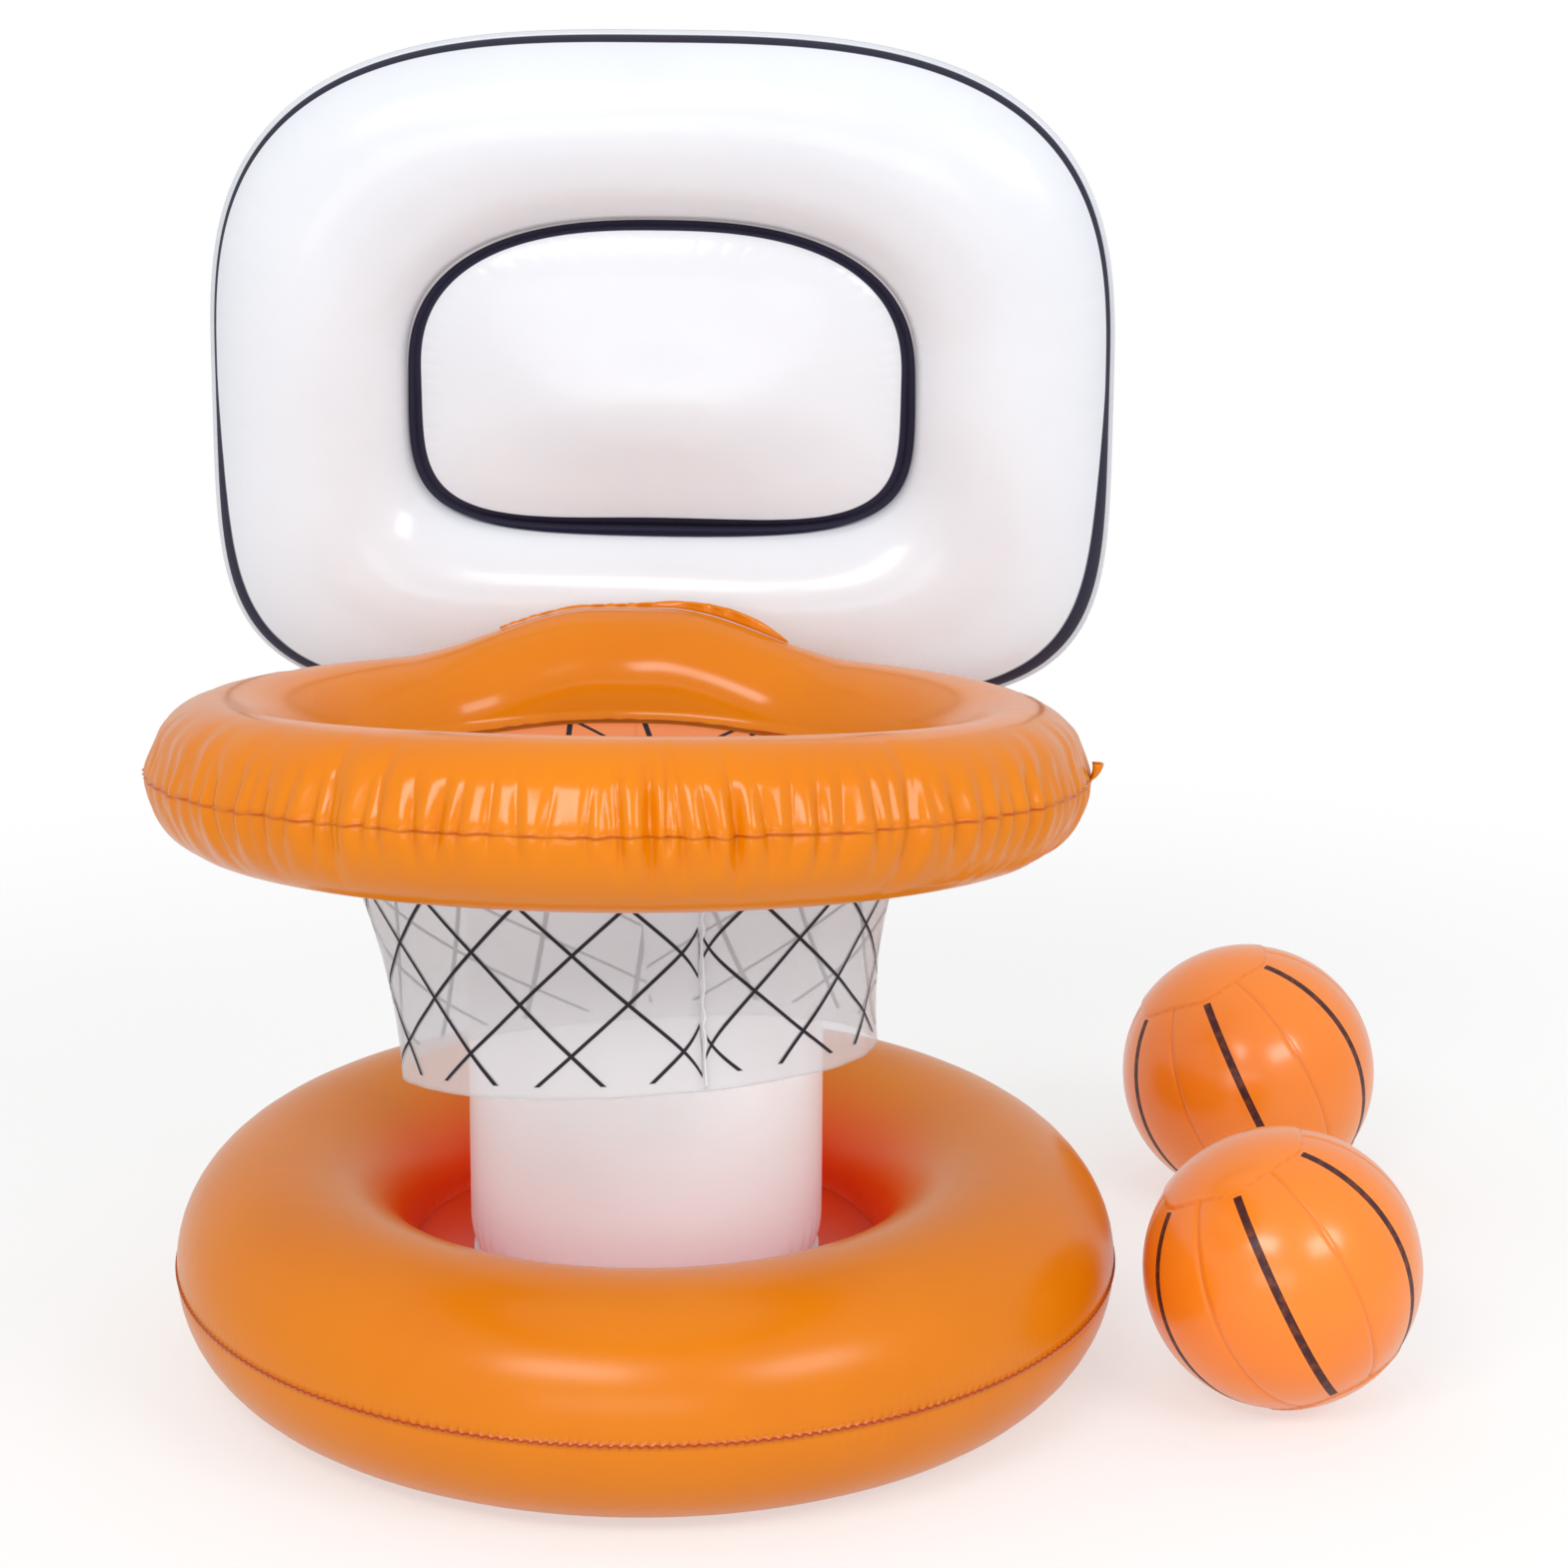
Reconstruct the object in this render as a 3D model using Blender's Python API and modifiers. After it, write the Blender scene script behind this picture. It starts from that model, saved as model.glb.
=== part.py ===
# Inflatable floating basketball hoop with two balls, built as welded film panels.
# Metres, +Z up. The front, where the hoop hangs out, faces -Y.
import math

import bmesh
import bpy
from mathutils import Matrix, Vector

mm = 0.001

# film and welds
film = 1.2 * mm            # stand-in thickness of the film
seamGap = 0.3 * mm         # clearance between welded pieces
lip = 3.0 * mm             # width of a weld lip
dishGap = 1.2 * mm         # room beside a part that sits in another's hole
standOff = 0.6 * mm        # room under a part that stands on a curved panel

# base ring
baseOuterRadius = 330.0 * mm
baseTubeShare = 0.2515     # the tube's half width against the ring's radius
baseFlattenShare = 0.976   # the tube's height against its width
baseTubeHalfWidth = baseOuterRadius * baseTubeShare
baseTubeHalfHeight = baseTubeHalfWidth * baseFlattenShare
baseFlatCut = 0.6 * mm     # how far the floor flattens the tube
baseInnerRadius = baseOuterRadius - 2 * baseTubeHalfWidth
webEdgeInset = 2.0 * mm

# column, standing in the middle of the base ring
wellWidth = 40.5 * mm      # open room between the base ring and the column
columnSeamInset = 10.0 * mm
columnLip = 8.0 * mm
webHoleInset = 13.5 * mm
columnRadius = baseInnerRadius - wellWidth
columnSeamRadius = columnRadius - columnSeamInset
webHoleRadius = columnSeamRadius - webHoleInset
columnShoulder = 26.0 * mm
columnFootDish = 10.0 * mm
columnTopDome = 6.0 * mm

# hoop ring, its rear tube over the column
hoopOuterRadius = 296.5 * mm
hoopTubeRadius = 47.0 * mm
hoopCentreRadius = hoopOuterRadius - hoopTubeRadius
hoopCentreHeight = 508.5 * mm
hoopTilt = math.radians(9.05)
hoopReach = hoopCentreRadius * math.cos(hoopTilt)
hoopDroop = 3.0 * mm       # how far the two sides hang down
hoopLift = 6.0 * mm        # how far the hump carries the ring's rear up
frontSwell = 4.0 * mm      # how much thicker the tube is at the front
puckerDepth = 1.5 * mm
puckerCount = 28
puckerSpread = math.radians(30.0)
humpSwell = 24.5 * mm
humpTurn = math.radians(2.5)        # the hump's crown sits a little to the left
humpFlatAngle = math.radians(5.5)
humpEndAngle = math.radians(36.5)
humpLean = math.radians(106.0)
mountLipHeight = 7.0 * mm
mountLipEndHeight = 1.2 * mm
mountLipSkewPower = 3.5    # the lip stands highest on its right
mountLipHalfAngle = math.radians(23.0)
mountLipLean = math.radians(90.0)
tabLength = 14.0 * mm
tabReach = 5.0 * mm
tabRise = 3.0 * mm
tabBendShare = 0.3

# backboard, a little wider than the ring
boardPlane = 92.0 * mm     # the seam plane's distance behind the column's axis
boardOverhang = 11.5 * mm
boardShift = 6.0 * mm      # the board stands this far to the right of the ring's middle
boardHalfWidth = hoopOuterRadius + boardOverhang
boardBottom = 457.0 * mm
boardTop = 922.3 * mm
boardTubeHalfDepth = 45.0 * mm
pillowHalfDepth = 20.0 * mm
grooveSide = 138.0 * mm    # width of the tube at the board's sides
grooveHalfWidth = boardHalfWidth - grooveSide
grooveBottom = 583.6 * mm
grooveTop = 793.4 * mm
grooveBand = 5.0 * mm       # flat width of the inner weld
boardTopPower = 3.0
boardBottomPower = 4.8
grooveTopPower = 2.5
grooveBottomPower = 4.5
weldStripHalfAngle = math.radians(15.0)
stripDrop = 8.0 * mm        # how far the strip passes below the board

# net skirt
netFilm = 1.0 * mm
netTopInset = 2.3 * mm
netLength = 185.0 * mm
netHemInset = 50.0 * mm    # how far the hem's sides lie inside the top edge
netHemPress = 16.0 * mm    # how much narrower the hem is from front to back
netFlarePower = 2.1
hemShift = 14.0 * mm       # the slack skirt hangs a little to the right
hemRise = 11.0 * mm        # and is lifted on that side
netColumnGap = 2.0 * mm
netLeanBand = 46.0 * mm
finWidth = 7.0 * mm
finFilm = 0.8 * mm
finAngle = math.radians(-71.0)
finHemInset = 2.0 * mm
finTopInset = 22.0 * mm

# valves
valveBore = 3.6 * mm
valveTubeRadius = 5.5 * mm
valveFlangeRadius = 11.0 * mm
valveHeight = 9.0 * mm
stopperLength = 7.0 * mm
stopperCapRadius = 6.5 * mm
stopperCapHeight = 2.0 * mm
cutterDepth = 12.0 * mm

# balls
ballRadius = 98.0 * mm
capRadius = 53.8 * mm
capRows = 3
capHoleShare = 2 / 3       # the gores' polar hole against the cap over it
ballTurn = math.radians(172.0)
ballLean = math.radians(27.0)
ballSpin = math.radians(7.0)
ballGap = 16.0 * mm        # room between the base ring and the balls beside it
ballAcross = baseOuterRadius + ballGap + ballRadius
nearBallFront = 58.0 * mm
farBallBehind = 330.0 * mm
goreCount = 6

# how finely the curves are cut
baseSteps = 40
columnSteps = 32
hoopSteps = 2 * puckerCount
netSteps = 40
boardSteps = 36
valveSteps = 12
tubeRows = 6
goreColumns = 3
goreRows = 6

orange = (0.80, 0.23, 0.01)
white = (0.83, 0.82, 0.85)
frost = (0.78, 0.79, 0.80)
clear = (0.70, 0.72, 0.75)
ballOrange = (0.85, 0.25, 0.03)

for old in list(bpy.data.objects):
    bpy.data.objects.remove(old, do_unlink=True)

parts = bpy.data.collections.new("floating_basketball_hoop")
cutters = bpy.data.collections.new("cutters")
for group in (parts, cutters):
    bpy.context.scene.collection.children.link(group)
root = bpy.data.objects.new("hoop_root", None)
parts.objects.link(root)


def material(name, colour, roughness, alpha=1.0):
    made = bpy.data.materials.new(name)
    made.use_nodes = True
    shader = made.node_tree.nodes["Principled BSDF"]
    shader.inputs["Base Color"].default_value = (*colour, 1.0)
    shader.inputs["Roughness"].default_value = roughness
    shader.inputs["Metallic"].default_value = 0.0
    shader.inputs["Alpha"].default_value = alpha
    made.diffuse_color = (*colour, alpha)
    return made


def addPiece(name, mesh, colour, roughness, place=None, alpha=1.0):
    piece = bpy.data.objects.new(name, mesh)
    mesh.materials.append(material(name, colour, roughness, alpha))
    piece.matrix_world = place or Matrix.Identity(4)
    parts.objects.link(piece)
    piece.parent = root
    return piece


def addSolidify(piece, thickness, offset=-1.0):
    shell = piece.modifiers.new("film", "SOLIDIFY")
    shell.thickness = thickness
    shell.offset = offset
    shell.use_even_offset = True


def sheetMesh(name, rows, closed, centre=None):
    # rows of points joined by quads; a centre point closes the last row with a fan
    mesh = bpy.data.meshes.new(name)
    build = bmesh.new()
    grid = [[build.verts.new(point) for point in row] for row in rows]
    count = len(rows[0])
    last = count if closed else count - 1
    for low, high in zip(grid, grid[1:]):
        for i in range(last):
            j = (i + 1) % count
            build.faces.new((low[i], low[j], high[j], high[i]))
    if centre is not None:
        hub = build.verts.new(centre)
        for i in range(last):
            build.faces.new((grid[-1][i], grid[-1][(i + 1) % count], hub))
    build.to_mesh(mesh)
    build.free()
    mesh.shade_smooth()
    return mesh


def profileMesh(name, points, closed):
    mesh = bpy.data.meshes.new(name)
    build = bmesh.new()
    verts = [build.verts.new((radius, 0.0, height)) for radius, height in points]
    for first, second in zip(verts, verts[1:]):
        build.edges.new((first, second))
    if closed:
        build.edges.new((verts[-1], verts[0]))
    build.to_mesh(mesh)
    build.free()
    return mesh


def addScrew(piece, steps, flip=False):
    spin = piece.modifiers.new("revolve", "SCREW")
    spin.axis = "Z"
    spin.angle = 2.0 * math.pi
    spin.steps = steps
    spin.render_steps = steps
    spin.use_merge_vertices = True
    spin.merge_threshold = 0.01 * mm
    spin.use_normal_flip = flip
    spin.use_smooth_shade = True


def revolvedFilm(name, points, colour, roughness, place=None, steps=baseSteps):
    piece = addPiece(name, profileMesh(name, points, False), colour, roughness, place)
    addScrew(piece, steps, True)
    addSolidify(piece, film)
    return piece


def revolvedSolid(name, points, colour, roughness, place=None, closed=True):
    piece = addPiece(name, profileMesh(name, points, closed), colour, roughness, place)
    addScrew(piece, valveSteps, True)
    return piece


def arc(start, end, count):
    return [start + (end - start) * i / count for i in range(count + 1)]


def tubeProfile(centreRadius, halfWidth, halfHeight, flatCut=0.0):
    # upper half of the tube, outer lip first, inner lip last
    lipTop = seamGap / 2 + film
    start = math.asin(lipTop / halfHeight)
    points = [(centreRadius + halfWidth + lip, lipTop)]
    if flatCut:
        edge = math.asin(1.0 - flatCut / halfHeight)
        angles = arc(start, edge, tubeRows // 2) + arc(math.pi - edge, math.pi - start, tubeRows // 2)
    else:
        angles = arc(start, math.pi - start, tubeRows)
    points += [(centreRadius + halfWidth * math.cos(a), halfHeight * math.sin(a)) for a in angles]
    points.append((centreRadius - halfWidth - lip, lipTop))
    return points


def turned(point, normal):
    # a place whose local +Z is the given outward normal
    return Matrix.Translation(point) @ normal.to_track_quat("Z", "Y").to_matrix().to_4x4()


def cutValveHole(piece, place):
    mesh = bpy.data.meshes.new(piece.name + "_hole")
    build = bmesh.new()
    bmesh.ops.create_cone(build, cap_ends=True, segments=valveSteps, radius1=valveBore,
                          radius2=valveBore, depth=cutterDepth)
    build.to_mesh(mesh)
    build.free()
    cutter = bpy.data.objects.new(piece.name + "_hole", mesh)
    cutter.matrix_world = place
    cutter.hide_render = True
    cutter.display_type = "WIRE"
    cutters.objects.link(cutter)
    cutter.parent = root
    cut = piece.modifiers.new("valve_hole", "BOOLEAN")
    cut.operation = "DIFFERENCE"
    cut.solver = "EXACT"
    cut.object = cutter


def facet(corners, inside):
    # the middle of a flat face of a panel, and its normal away from a point inside the chamber
    middle = sum(corners, Vector()) / len(corners)
    normal = (corners[2] - corners[0]).cross(corners[3] - corners[1]).normalized()
    return middle, normal if normal.dot(middle - inside) > 0 else -normal


def revolvedFacet(profile, index, angle, steps, height=0.0):
    half = math.pi / steps
    return [Vector((r * math.cos(u), r * math.sin(u), z + height))
            for (r, z), u in ((profile[index], angle - half), (profile[index], angle + half),
                              (profile[index + 1], angle + half), (profile[index + 1], angle - half))]


def addValve(name, panel, seat, colour):
    point, normal = seat
    place = turned(point + normal * seamGap, normal)
    cutValveHole(panel, turned(point, normal))
    neck = [(valveBore, 0.0), (valveFlangeRadius, 0.0), (valveFlangeRadius, film),
            (valveTubeRadius, film), (valveTubeRadius, valveHeight), (valveBore, valveHeight)]
    revolvedSolid(name + "_neck", neck, clear, 0.25, place)
    seat = valveHeight + seamGap
    plug = valveBore - seamGap
    stopper = [(0.0, valveHeight - stopperLength), (plug, valveHeight - stopperLength),
               (plug, seat), (stopperCapRadius, seat), (stopperCapRadius, seat + stopperCapHeight),
               (0.0, seat + stopperCapHeight)]
    revolvedSolid(name + "_stopper", stopper, colour, 0.3, place, closed=False)
    print("valve", name, [round(v, 5) for v in point], [round(v, 5) for v in normal])


# base ring, lying on the floor
baseCentreRadius = baseOuterRadius - baseTubeHalfWidth
baseSeamHeight = baseTubeHalfHeight - baseFlatCut
onSeam = Matrix.Translation((0.0, 0.0, baseSeamHeight))
upperProfile = tubeProfile(baseCentreRadius, baseTubeHalfWidth, baseTubeHalfHeight)
lowerProfile = tubeProfile(baseCentreRadius, baseTubeHalfWidth, baseTubeHalfHeight, baseFlatCut)
baseUpper = revolvedFilm("base_upper_panel", upperProfile, orange, 0.28, onSeam)
baseLower = revolvedFilm("base_lower_panel", [(r, -z) for r, z in reversed(lowerProfile)],
                         orange, 0.28, onSeam)

webTop = baseSeamHeight + seamGap / 2 + film + seamGap + film
webOuterRadius = baseInnerRadius - webEdgeInset
revolvedFilm("base_web", [(webOuterRadius, webTop), (webHoleRadius, webTop)], orange, 0.3,
             steps=columnSteps)

# column, standing on the web
footDiscTop = webTop + seamGap + film
columnLipRadius = columnSeamRadius + columnLip
footDisc = [(columnLipRadius, footDiscTop), (webHoleRadius - dishGap, footDiscTop)]
footDishRadius = footDisc[-1][0]
footDisc += [(footDishRadius * math.cos(a), footDiscTop - columnFootDish * math.sin(a))
             for a in arc(0.0, math.pi / 2, 3)[1:]]
revolvedFilm("column_foot_disc", footDisc, white, 0.3, steps=columnSteps)

# hoop ring
rearAngle = math.pi / 2


def onHoop(point):
    # from the ring's own level frame to its tilted place
    turn = Matrix.Rotation(-hoopTilt, 3, "X")
    return turn @ Vector(point) + Vector((0.0, -hoopReach, hoopCentreHeight))



def humpShare(around):
    # 1 on the hump's crown, 0 past its ends, eased in between
    away = abs((around - rearAngle - humpTurn + math.pi) % (2 * math.pi) - math.pi)
    t = (humpEndAngle - away) / (humpEndAngle - humpFlatAngle)
    t = min(1.0, max(0.0, t))
    return t * t * (3 - 2 * t)


def onRing(around, radius, height):
    # a point beside the ring's centre line, which droops at the sides and rises at the hump
    rise = hoopLift * humpShare(around) - hoopDroop * math.cos(around) ** 2
    return onHoop((radius * math.cos(around), radius * math.sin(around), height + rise))


def hoopReachAt(around, v):
    # the tube swells at the hump and the front, and is drawn in at each pucker by the outer seam
    swell = humpSwell * humpShare(around) * max(0.0, math.cos(v - humpLean)) ** 2
    swell += frontSwell * max(0.0, -math.sin(around)) ** 2
    fromSeam = min(abs(v), abs(v - 2 * math.pi))
    wave = (1 + math.cos(puckerCount * around)) / 2
    return hoopTubeRadius + swell - puckerDepth * wave * math.exp(-(fromSeam / puckerSpread) ** 2)


def hoopRow(v, side):
    row = []
    for i in range(hoopSteps):
        u = 2 * math.pi * i / hoopSteps
        reach = hoopReachAt(u, v)
        height = side * max(side * reach * math.sin(v), seamGap / 2 + film)
        row.append(onRing(u, hoopCentreRadius + reach * math.cos(v), height))
    return row


def hoopLip(v, side):
    # the weld's free edge, beyond the tube on the inner or the outer side
    row = []
    for i in range(hoopSteps):
        u = 2 * math.pi * i / hoopSteps
        radius = hoopCentreRadius + (hoopReachAt(u, v) + lip) * math.cos(v)
        row.append(onRing(u, radius, side * (seamGap / 2 + film)))
    return row


outerLip = hoopOuterRadius + lip
lipAngle = math.asin((seamGap / 2 + film) / hoopTubeRadius)
upperRows = [hoopLip(0.0, 1)]
upperRows += [hoopRow(v, 1) for v in arc(lipAngle, math.pi - lipAngle, tubeRows)]
upperRows += [hoopLip(math.pi, 1)]
hoopUpper = addPiece("hoop_upper_panel", sheetMesh("hoop_upper_panel", upperRows, True), orange, 0.28)
addSolidify(hoopUpper, film)
lowerRows = [hoopLip(math.pi, -1)]
lowerRows += [hoopRow(v, -1) for v in arc(math.pi + lipAngle, 2 * math.pi - lipAngle, tubeRows)]
lowerRows += [hoopLip(0.0, -1)]
hoopLower = addPiece("hoop_lower_panel", sheetMesh("hoop_lower_panel", lowerRows, True), orange, 0.28)
addSolidify(hoopLower, film)

# the column's wall and top, under the ring's rear tube
columnTop = min(point.z for row in lowerRows for point in row
                if math.hypot(point.x, point.y) < columnLipRadius) - seamGap
topDiscEdge = columnTop - columnTopDome - film
wallFoot = footDiscTop + seamGap
wallTop = topDiscEdge - seamGap
columnBulge = columnRadius - columnSeamRadius
wall = [(columnLipRadius, wallFoot + film)]
wall += [(columnSeamRadius + columnBulge * math.sin(a),
          wallFoot + film + columnShoulder * (1 - math.cos(a))) for a in arc(0.0, math.pi / 2, 3)]
wall += [(columnSeamRadius + columnBulge * math.cos(a),
          wallTop - film - columnShoulder * (1 - math.sin(a))) for a in arc(0.0, math.pi / 2, 3)]
wall.append((columnLipRadius, wallTop - film))
columnWall = revolvedFilm("column_wall", wall, white, 0.25, steps=columnSteps)
topDisc = [(columnLipRadius, topDiscEdge + film)]
topDisc += [(columnSeamRadius * math.cos(a), topDiscEdge + film + columnTopDome * math.sin(a))
            for a in arc(0.0, math.pi / 2, 3)]
revolvedFilm("column_top_disc", topDisc, white, 0.3, steps=columnSteps)


# lip behind the hump and small tab beside the ring
def onTube(u, v, lift):
    reach = hoopReachAt(u, v) + lift
    return onRing(u, hoopCentreRadius + reach * math.cos(v), reach * math.sin(v))


lipRows = [[], []]
for share in arc(0.0, 1.0, 14):
    u = rearAngle + mountLipHalfAngle * (1 - 2 * share)
    height = mountLipEndHeight + mountLipHeight * math.sin(math.pi * share ** mountLipSkewPower)
    lipRows[0].append(onTube(u, mountLipLean, standOff))
    lipRows[1].append(onTube(u, mountLipLean, standOff + height))
mountLip = addPiece("hoop_mount_lip", sheetMesh("hoop_mount_lip", lipRows, False), orange, 0.28)
addSolidify(mountLip, film, 0.0)

tabInner = outerLip + seamGap + film / 2
tabRows = []
for reach, rise in ((0.0, 0.0), (tabReach / 2, tabRise * tabBendShare), (tabReach, tabRise)):
    radius = tabInner + reach
    tabRows.append([onRing(math.asin(along / radius), radius, rise)
                    for along in arc(-tabLength / 2, tabLength / 2, 4)])
tab = addPiece("hoop_tether_tab", sheetMesh("hoop_tether_tab", tabRows, False), orange, 0.28)
addSolidify(tab, film, 0.0)


# backboard
def rounded(theta, halfWidth, bottom, top, topPower, bottomPower, inset=0.0):
    # a superellipse with its own power for the upper and the lower half
    power = topPower if math.sin(theta) >= 0 else bottomPower
    middle = (bottom + top) / 2
    halfHeight = (top - bottom) / 2 + inset
    c, s = math.cos(theta), math.sin(theta)
    scale = (abs(c) ** power + abs(s) ** power) ** (-1 / power)
    return Vector(((halfWidth + inset) * c * scale, 0.0, middle + halfHeight * s * scale))


def boardLoop(share, depth, side, inset=0.0):
    loop = []
    for i in range(boardSteps):
        theta = 2 * math.pi * i / boardSteps * side
        edge = rounded(theta, boardHalfWidth, boardBottom, boardTop,
                       boardTopPower, boardBottomPower, inset)
        groove = rounded(theta, grooveHalfWidth, grooveBottom, grooveTop,
                         grooveTopPower, grooveBottomPower)
        point = edge.lerp(groove, share)
        point.x += boardShift
        point.y = boardPlane - side * (seamGap / 2 + film + depth)
        loop.append(point)
    return loop


def boardRows(side):
    rows = [boardLoop(0.0, 0.0, side, lip)]
    stripShare = 1.0 - grooveBand / (boardHalfWidth - grooveHalfWidth)
    for a in arc(0.0, math.pi, 5):
        rows.append(boardLoop(stripShare * (1 - math.cos(a)) / 2, boardTubeHalfDepth * math.sin(a), side))
    rows.append(boardLoop(1.0, 0.0, side))
    middle = Vector((boardShift, 0.0, (grooveBottom + grooveTop) / 2))
    for a in arc(0.0, math.pi / 2, 4)[1:-1]:
        depth = pillowHalfDepth * math.sin(a)
        loop = []
        for point in boardLoop(1.0, 0.0, side):
            inner = middle.lerp(Vector((point.x, 0.0, point.z)), math.cos(a))
            loop.append(Vector((inner.x, point.y - side * depth, inner.z)))
        rows.append(loop)
    hub = Vector((middle.x, boardPlane - side * (seamGap / 2 + film + pillowHalfDepth), middle.z))
    return rows, hub


for name, side in (("board_front_panel", 1), ("board_back_panel", -1)):
    rows, hub = boardRows(side)
    panel = addPiece(name, sheetMesh(name, rows, True, hub), white, 0.25)
    addSolidify(panel, film)
boardBack = bpy.data.objects["board_back_panel"]

# weld strip from the hoop's rear lip up to the board's lower lip
stripAbove = seamGap / 2 + film + seamGap + film / 2
stripPlane = boardPlane - (seamGap / 2 + film + seamGap + film / 2)
stripRows = [[], [], [], []]
for u in arc(rearAngle - weldStripHalfAngle, rearAngle + weldStripHalfAngle, 8):
    low = [onRing(u, r, stripAbove) for r in (hoopOuterRadius + lip / 2, outerLip)]
    rise = Vector((low[1].x, stripPlane, boardBottom - stripDrop))
    stripRows[0].append(low[0])
    stripRows[1].append(low[1])
    stripRows[2].append(rise)
    stripRows[3].append(rise + Vector((0.0, 0.0, stripDrop)))
strip = addPiece("board_weld_strip", sheetMesh("board_weld_strip", stripRows, False), white, 0.3)
addSolidify(strip, film, 0.0)


# net skirt
def netPoint(u, share, lift=0.0):
    topRadius = hoopCentreRadius - hoopReachAt(u, math.pi) - netTopInset
    top = -(seamGap / 2 + film + seamGap + netFilm)
    inward = 1 - (1 - share) ** netFlarePower
    halfWidth = topRadius - netHemInset * inward + lift
    halfDepth = halfWidth - netHemPress * inward
    rise = (hoopLift * humpShare(u) - hoopDroop * math.cos(u) ** 2) * (1 - share)
    drop = top - (netLength + top) * share + hemRise * math.cos(u) * share
    point = onHoop((halfWidth * math.cos(u) + hemShift * share, halfDepth * math.sin(u), drop + rise))
    # the column pushes the rear wall forward, all the way below its top edge
    if abs(point.x) < columnRadius:
        limit = -math.sqrt(columnRadius ** 2 - point.x ** 2) - netColumnGap
        press = min(1.0, max(0.0, (columnTop + netLeanBand - point.z) / netLeanBand))
        press = press * press * (3 - 2 * press)
        if point.y > limit:
            point.y += (limit - point.y) * press
    return point


netRows = [[netPoint(2 * math.pi * i / netSteps, share) for i in range(netSteps)]
           for share in arc(1.0, 0.0, 6)]
skirt = addPiece("net_skirt", sheetMesh("net_skirt", netRows, True), frost, 0.4, alpha=0.55)
addSolidify(skirt, netFilm)

finRows = []
for share in arc(1.0 - finHemInset / netLength, finTopInset / netLength, 5):
    near = netPoint(finAngle, share, standOff)
    finRows.append([near, netPoint(finAngle, share, standOff + finWidth)])
fin = addPiece("net_fin_seam", sheetMesh("net_fin_seam", finRows, False), frost, 0.4, alpha=0.6)
addSolidify(fin, finFilm, 0.0)


# balls
def ballPoint(longitude, latitude, radius):
    return Vector((math.cos(latitude) * math.cos(longitude),
                   math.cos(latitude) * math.sin(longitude), math.sin(latitude))) * radius


def addBall(name, centre, lean):
    place = Matrix.Translation(centre) @ lean
    bodyRadius = ballRadius - film - seamGap
    capAngle = math.asin(capRadius / ballRadius)
    hole = capAngle * capHoleShare
    step = 2 * math.pi / goreCount
    slit = (seamGap + 2 * film * math.sin(step / goreColumns / 2)) / bodyRadius
    gores = []
    for k in range(goreCount):
        rows = []
        for latitude in arc(-math.pi / 2 + hole, math.pi / 2 - hole, goreRows):
            edge = slit / 2 / math.cos(latitude)
            rows.append([ballPoint(longitude, latitude, bodyRadius)
                         for longitude in arc(k * step + edge, (k + 1) * step - edge, goreColumns)])
        if k == goreCount - 2:
            goreValveRows = rows[goreRows // 2 - 1:goreRows // 2 + 1]
        pieceName = "%s_gore_%d" % (name, k + 1)
        gore = addPiece(pieceName, sheetMesh(pieceName, rows, False), ballOrange, 0.3, place)
        addSolidify(gore, film)
        gores.append(gore)
    for pieceName, side in ((name + "_cap_top", 1), (name + "_cap_bottom", -1)):
        count = goreCount * goreColumns
        rows = [[ballPoint(side * 2 * math.pi * i / count, side * (math.pi / 2 - angle), ballRadius)
                 for i in range(count)] for angle in arc(capAngle, 0.0, capRows)[:-1]]
        hub = Vector((0.0, 0.0, side * ballRadius))
        cap = addPiece(pieceName, sheetMesh(pieceName, rows, True, hub), ballOrange, 0.3, place)
        addSolidify(cap, film)
    low, high = goreValveRows
    corners = [place @ point for point in (low[1], low[2], high[2], high[1])]
    addValve(name + "_valve", gores[-2], facet(corners, centre), ballOrange)


lean = Matrix.Rotation(ballTurn, 4, "Z") @ Matrix.Rotation(ballLean, 4, "Y") @ Matrix.Rotation(ballSpin, 4, "Z")
nearBall = Vector((ballAcross, -nearBallFront, ballRadius))
farBall = Vector((ballAcross, farBallBehind, ballRadius))
addBall("ball_near", nearBall, lean)
addBall("ball_far", farBall, lean)

# valves of the four air chambers, on the sides that the photo hides
valveTurn = rearAngle + math.pi / baseSteps * 5
corners = revolvedFacet(upperProfile, 2, valveTurn, baseSteps, baseSeamHeight)
tubeMiddle = Vector((math.cos(valveTurn), math.sin(valveTurn), 0.0)) * baseCentreRadius
tubeMiddle.z = baseSeamHeight
addValve("base_valve", baseUpper, facet(corners, tubeMiddle), orange)

corners = revolvedFacet(wall, len(wall) // 2 - 1, rearAngle + math.pi / columnSteps, columnSteps)
addValve("column_valve", columnWall, facet(corners, Vector((0.0, 0.0, corners[0].z))), white)

ringStep = hoopSteps // 8 * 3
tubeRow = tubeRows // 2 + 1
corners = [lowerRows[tubeRow][ringStep], lowerRows[tubeRow][ringStep + 1],
           lowerRows[tubeRow + 1][ringStep + 1], lowerRows[tubeRow + 1][ringStep]]
ringTurn = 2 * math.pi * (ringStep + 0.5) / hoopSteps
tubeMiddle = onHoop((hoopCentreRadius * math.cos(ringTurn), hoopCentreRadius * math.sin(ringTurn), 0.0))
addValve("hoop_valve", hoopLower, facet(corners, tubeMiddle), orange)

backRows = boardRows(-1)[0]
boardStep = boardSteps // 4
corners = [backRows[3][boardStep], backRows[3][boardStep + 1],
           backRows[4][boardStep + 1], backRows[4][boardStep]]
addValve("board_valve", boardBack, facet(corners, Vector((0.0, boardPlane, boardBottom))), white)

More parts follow.
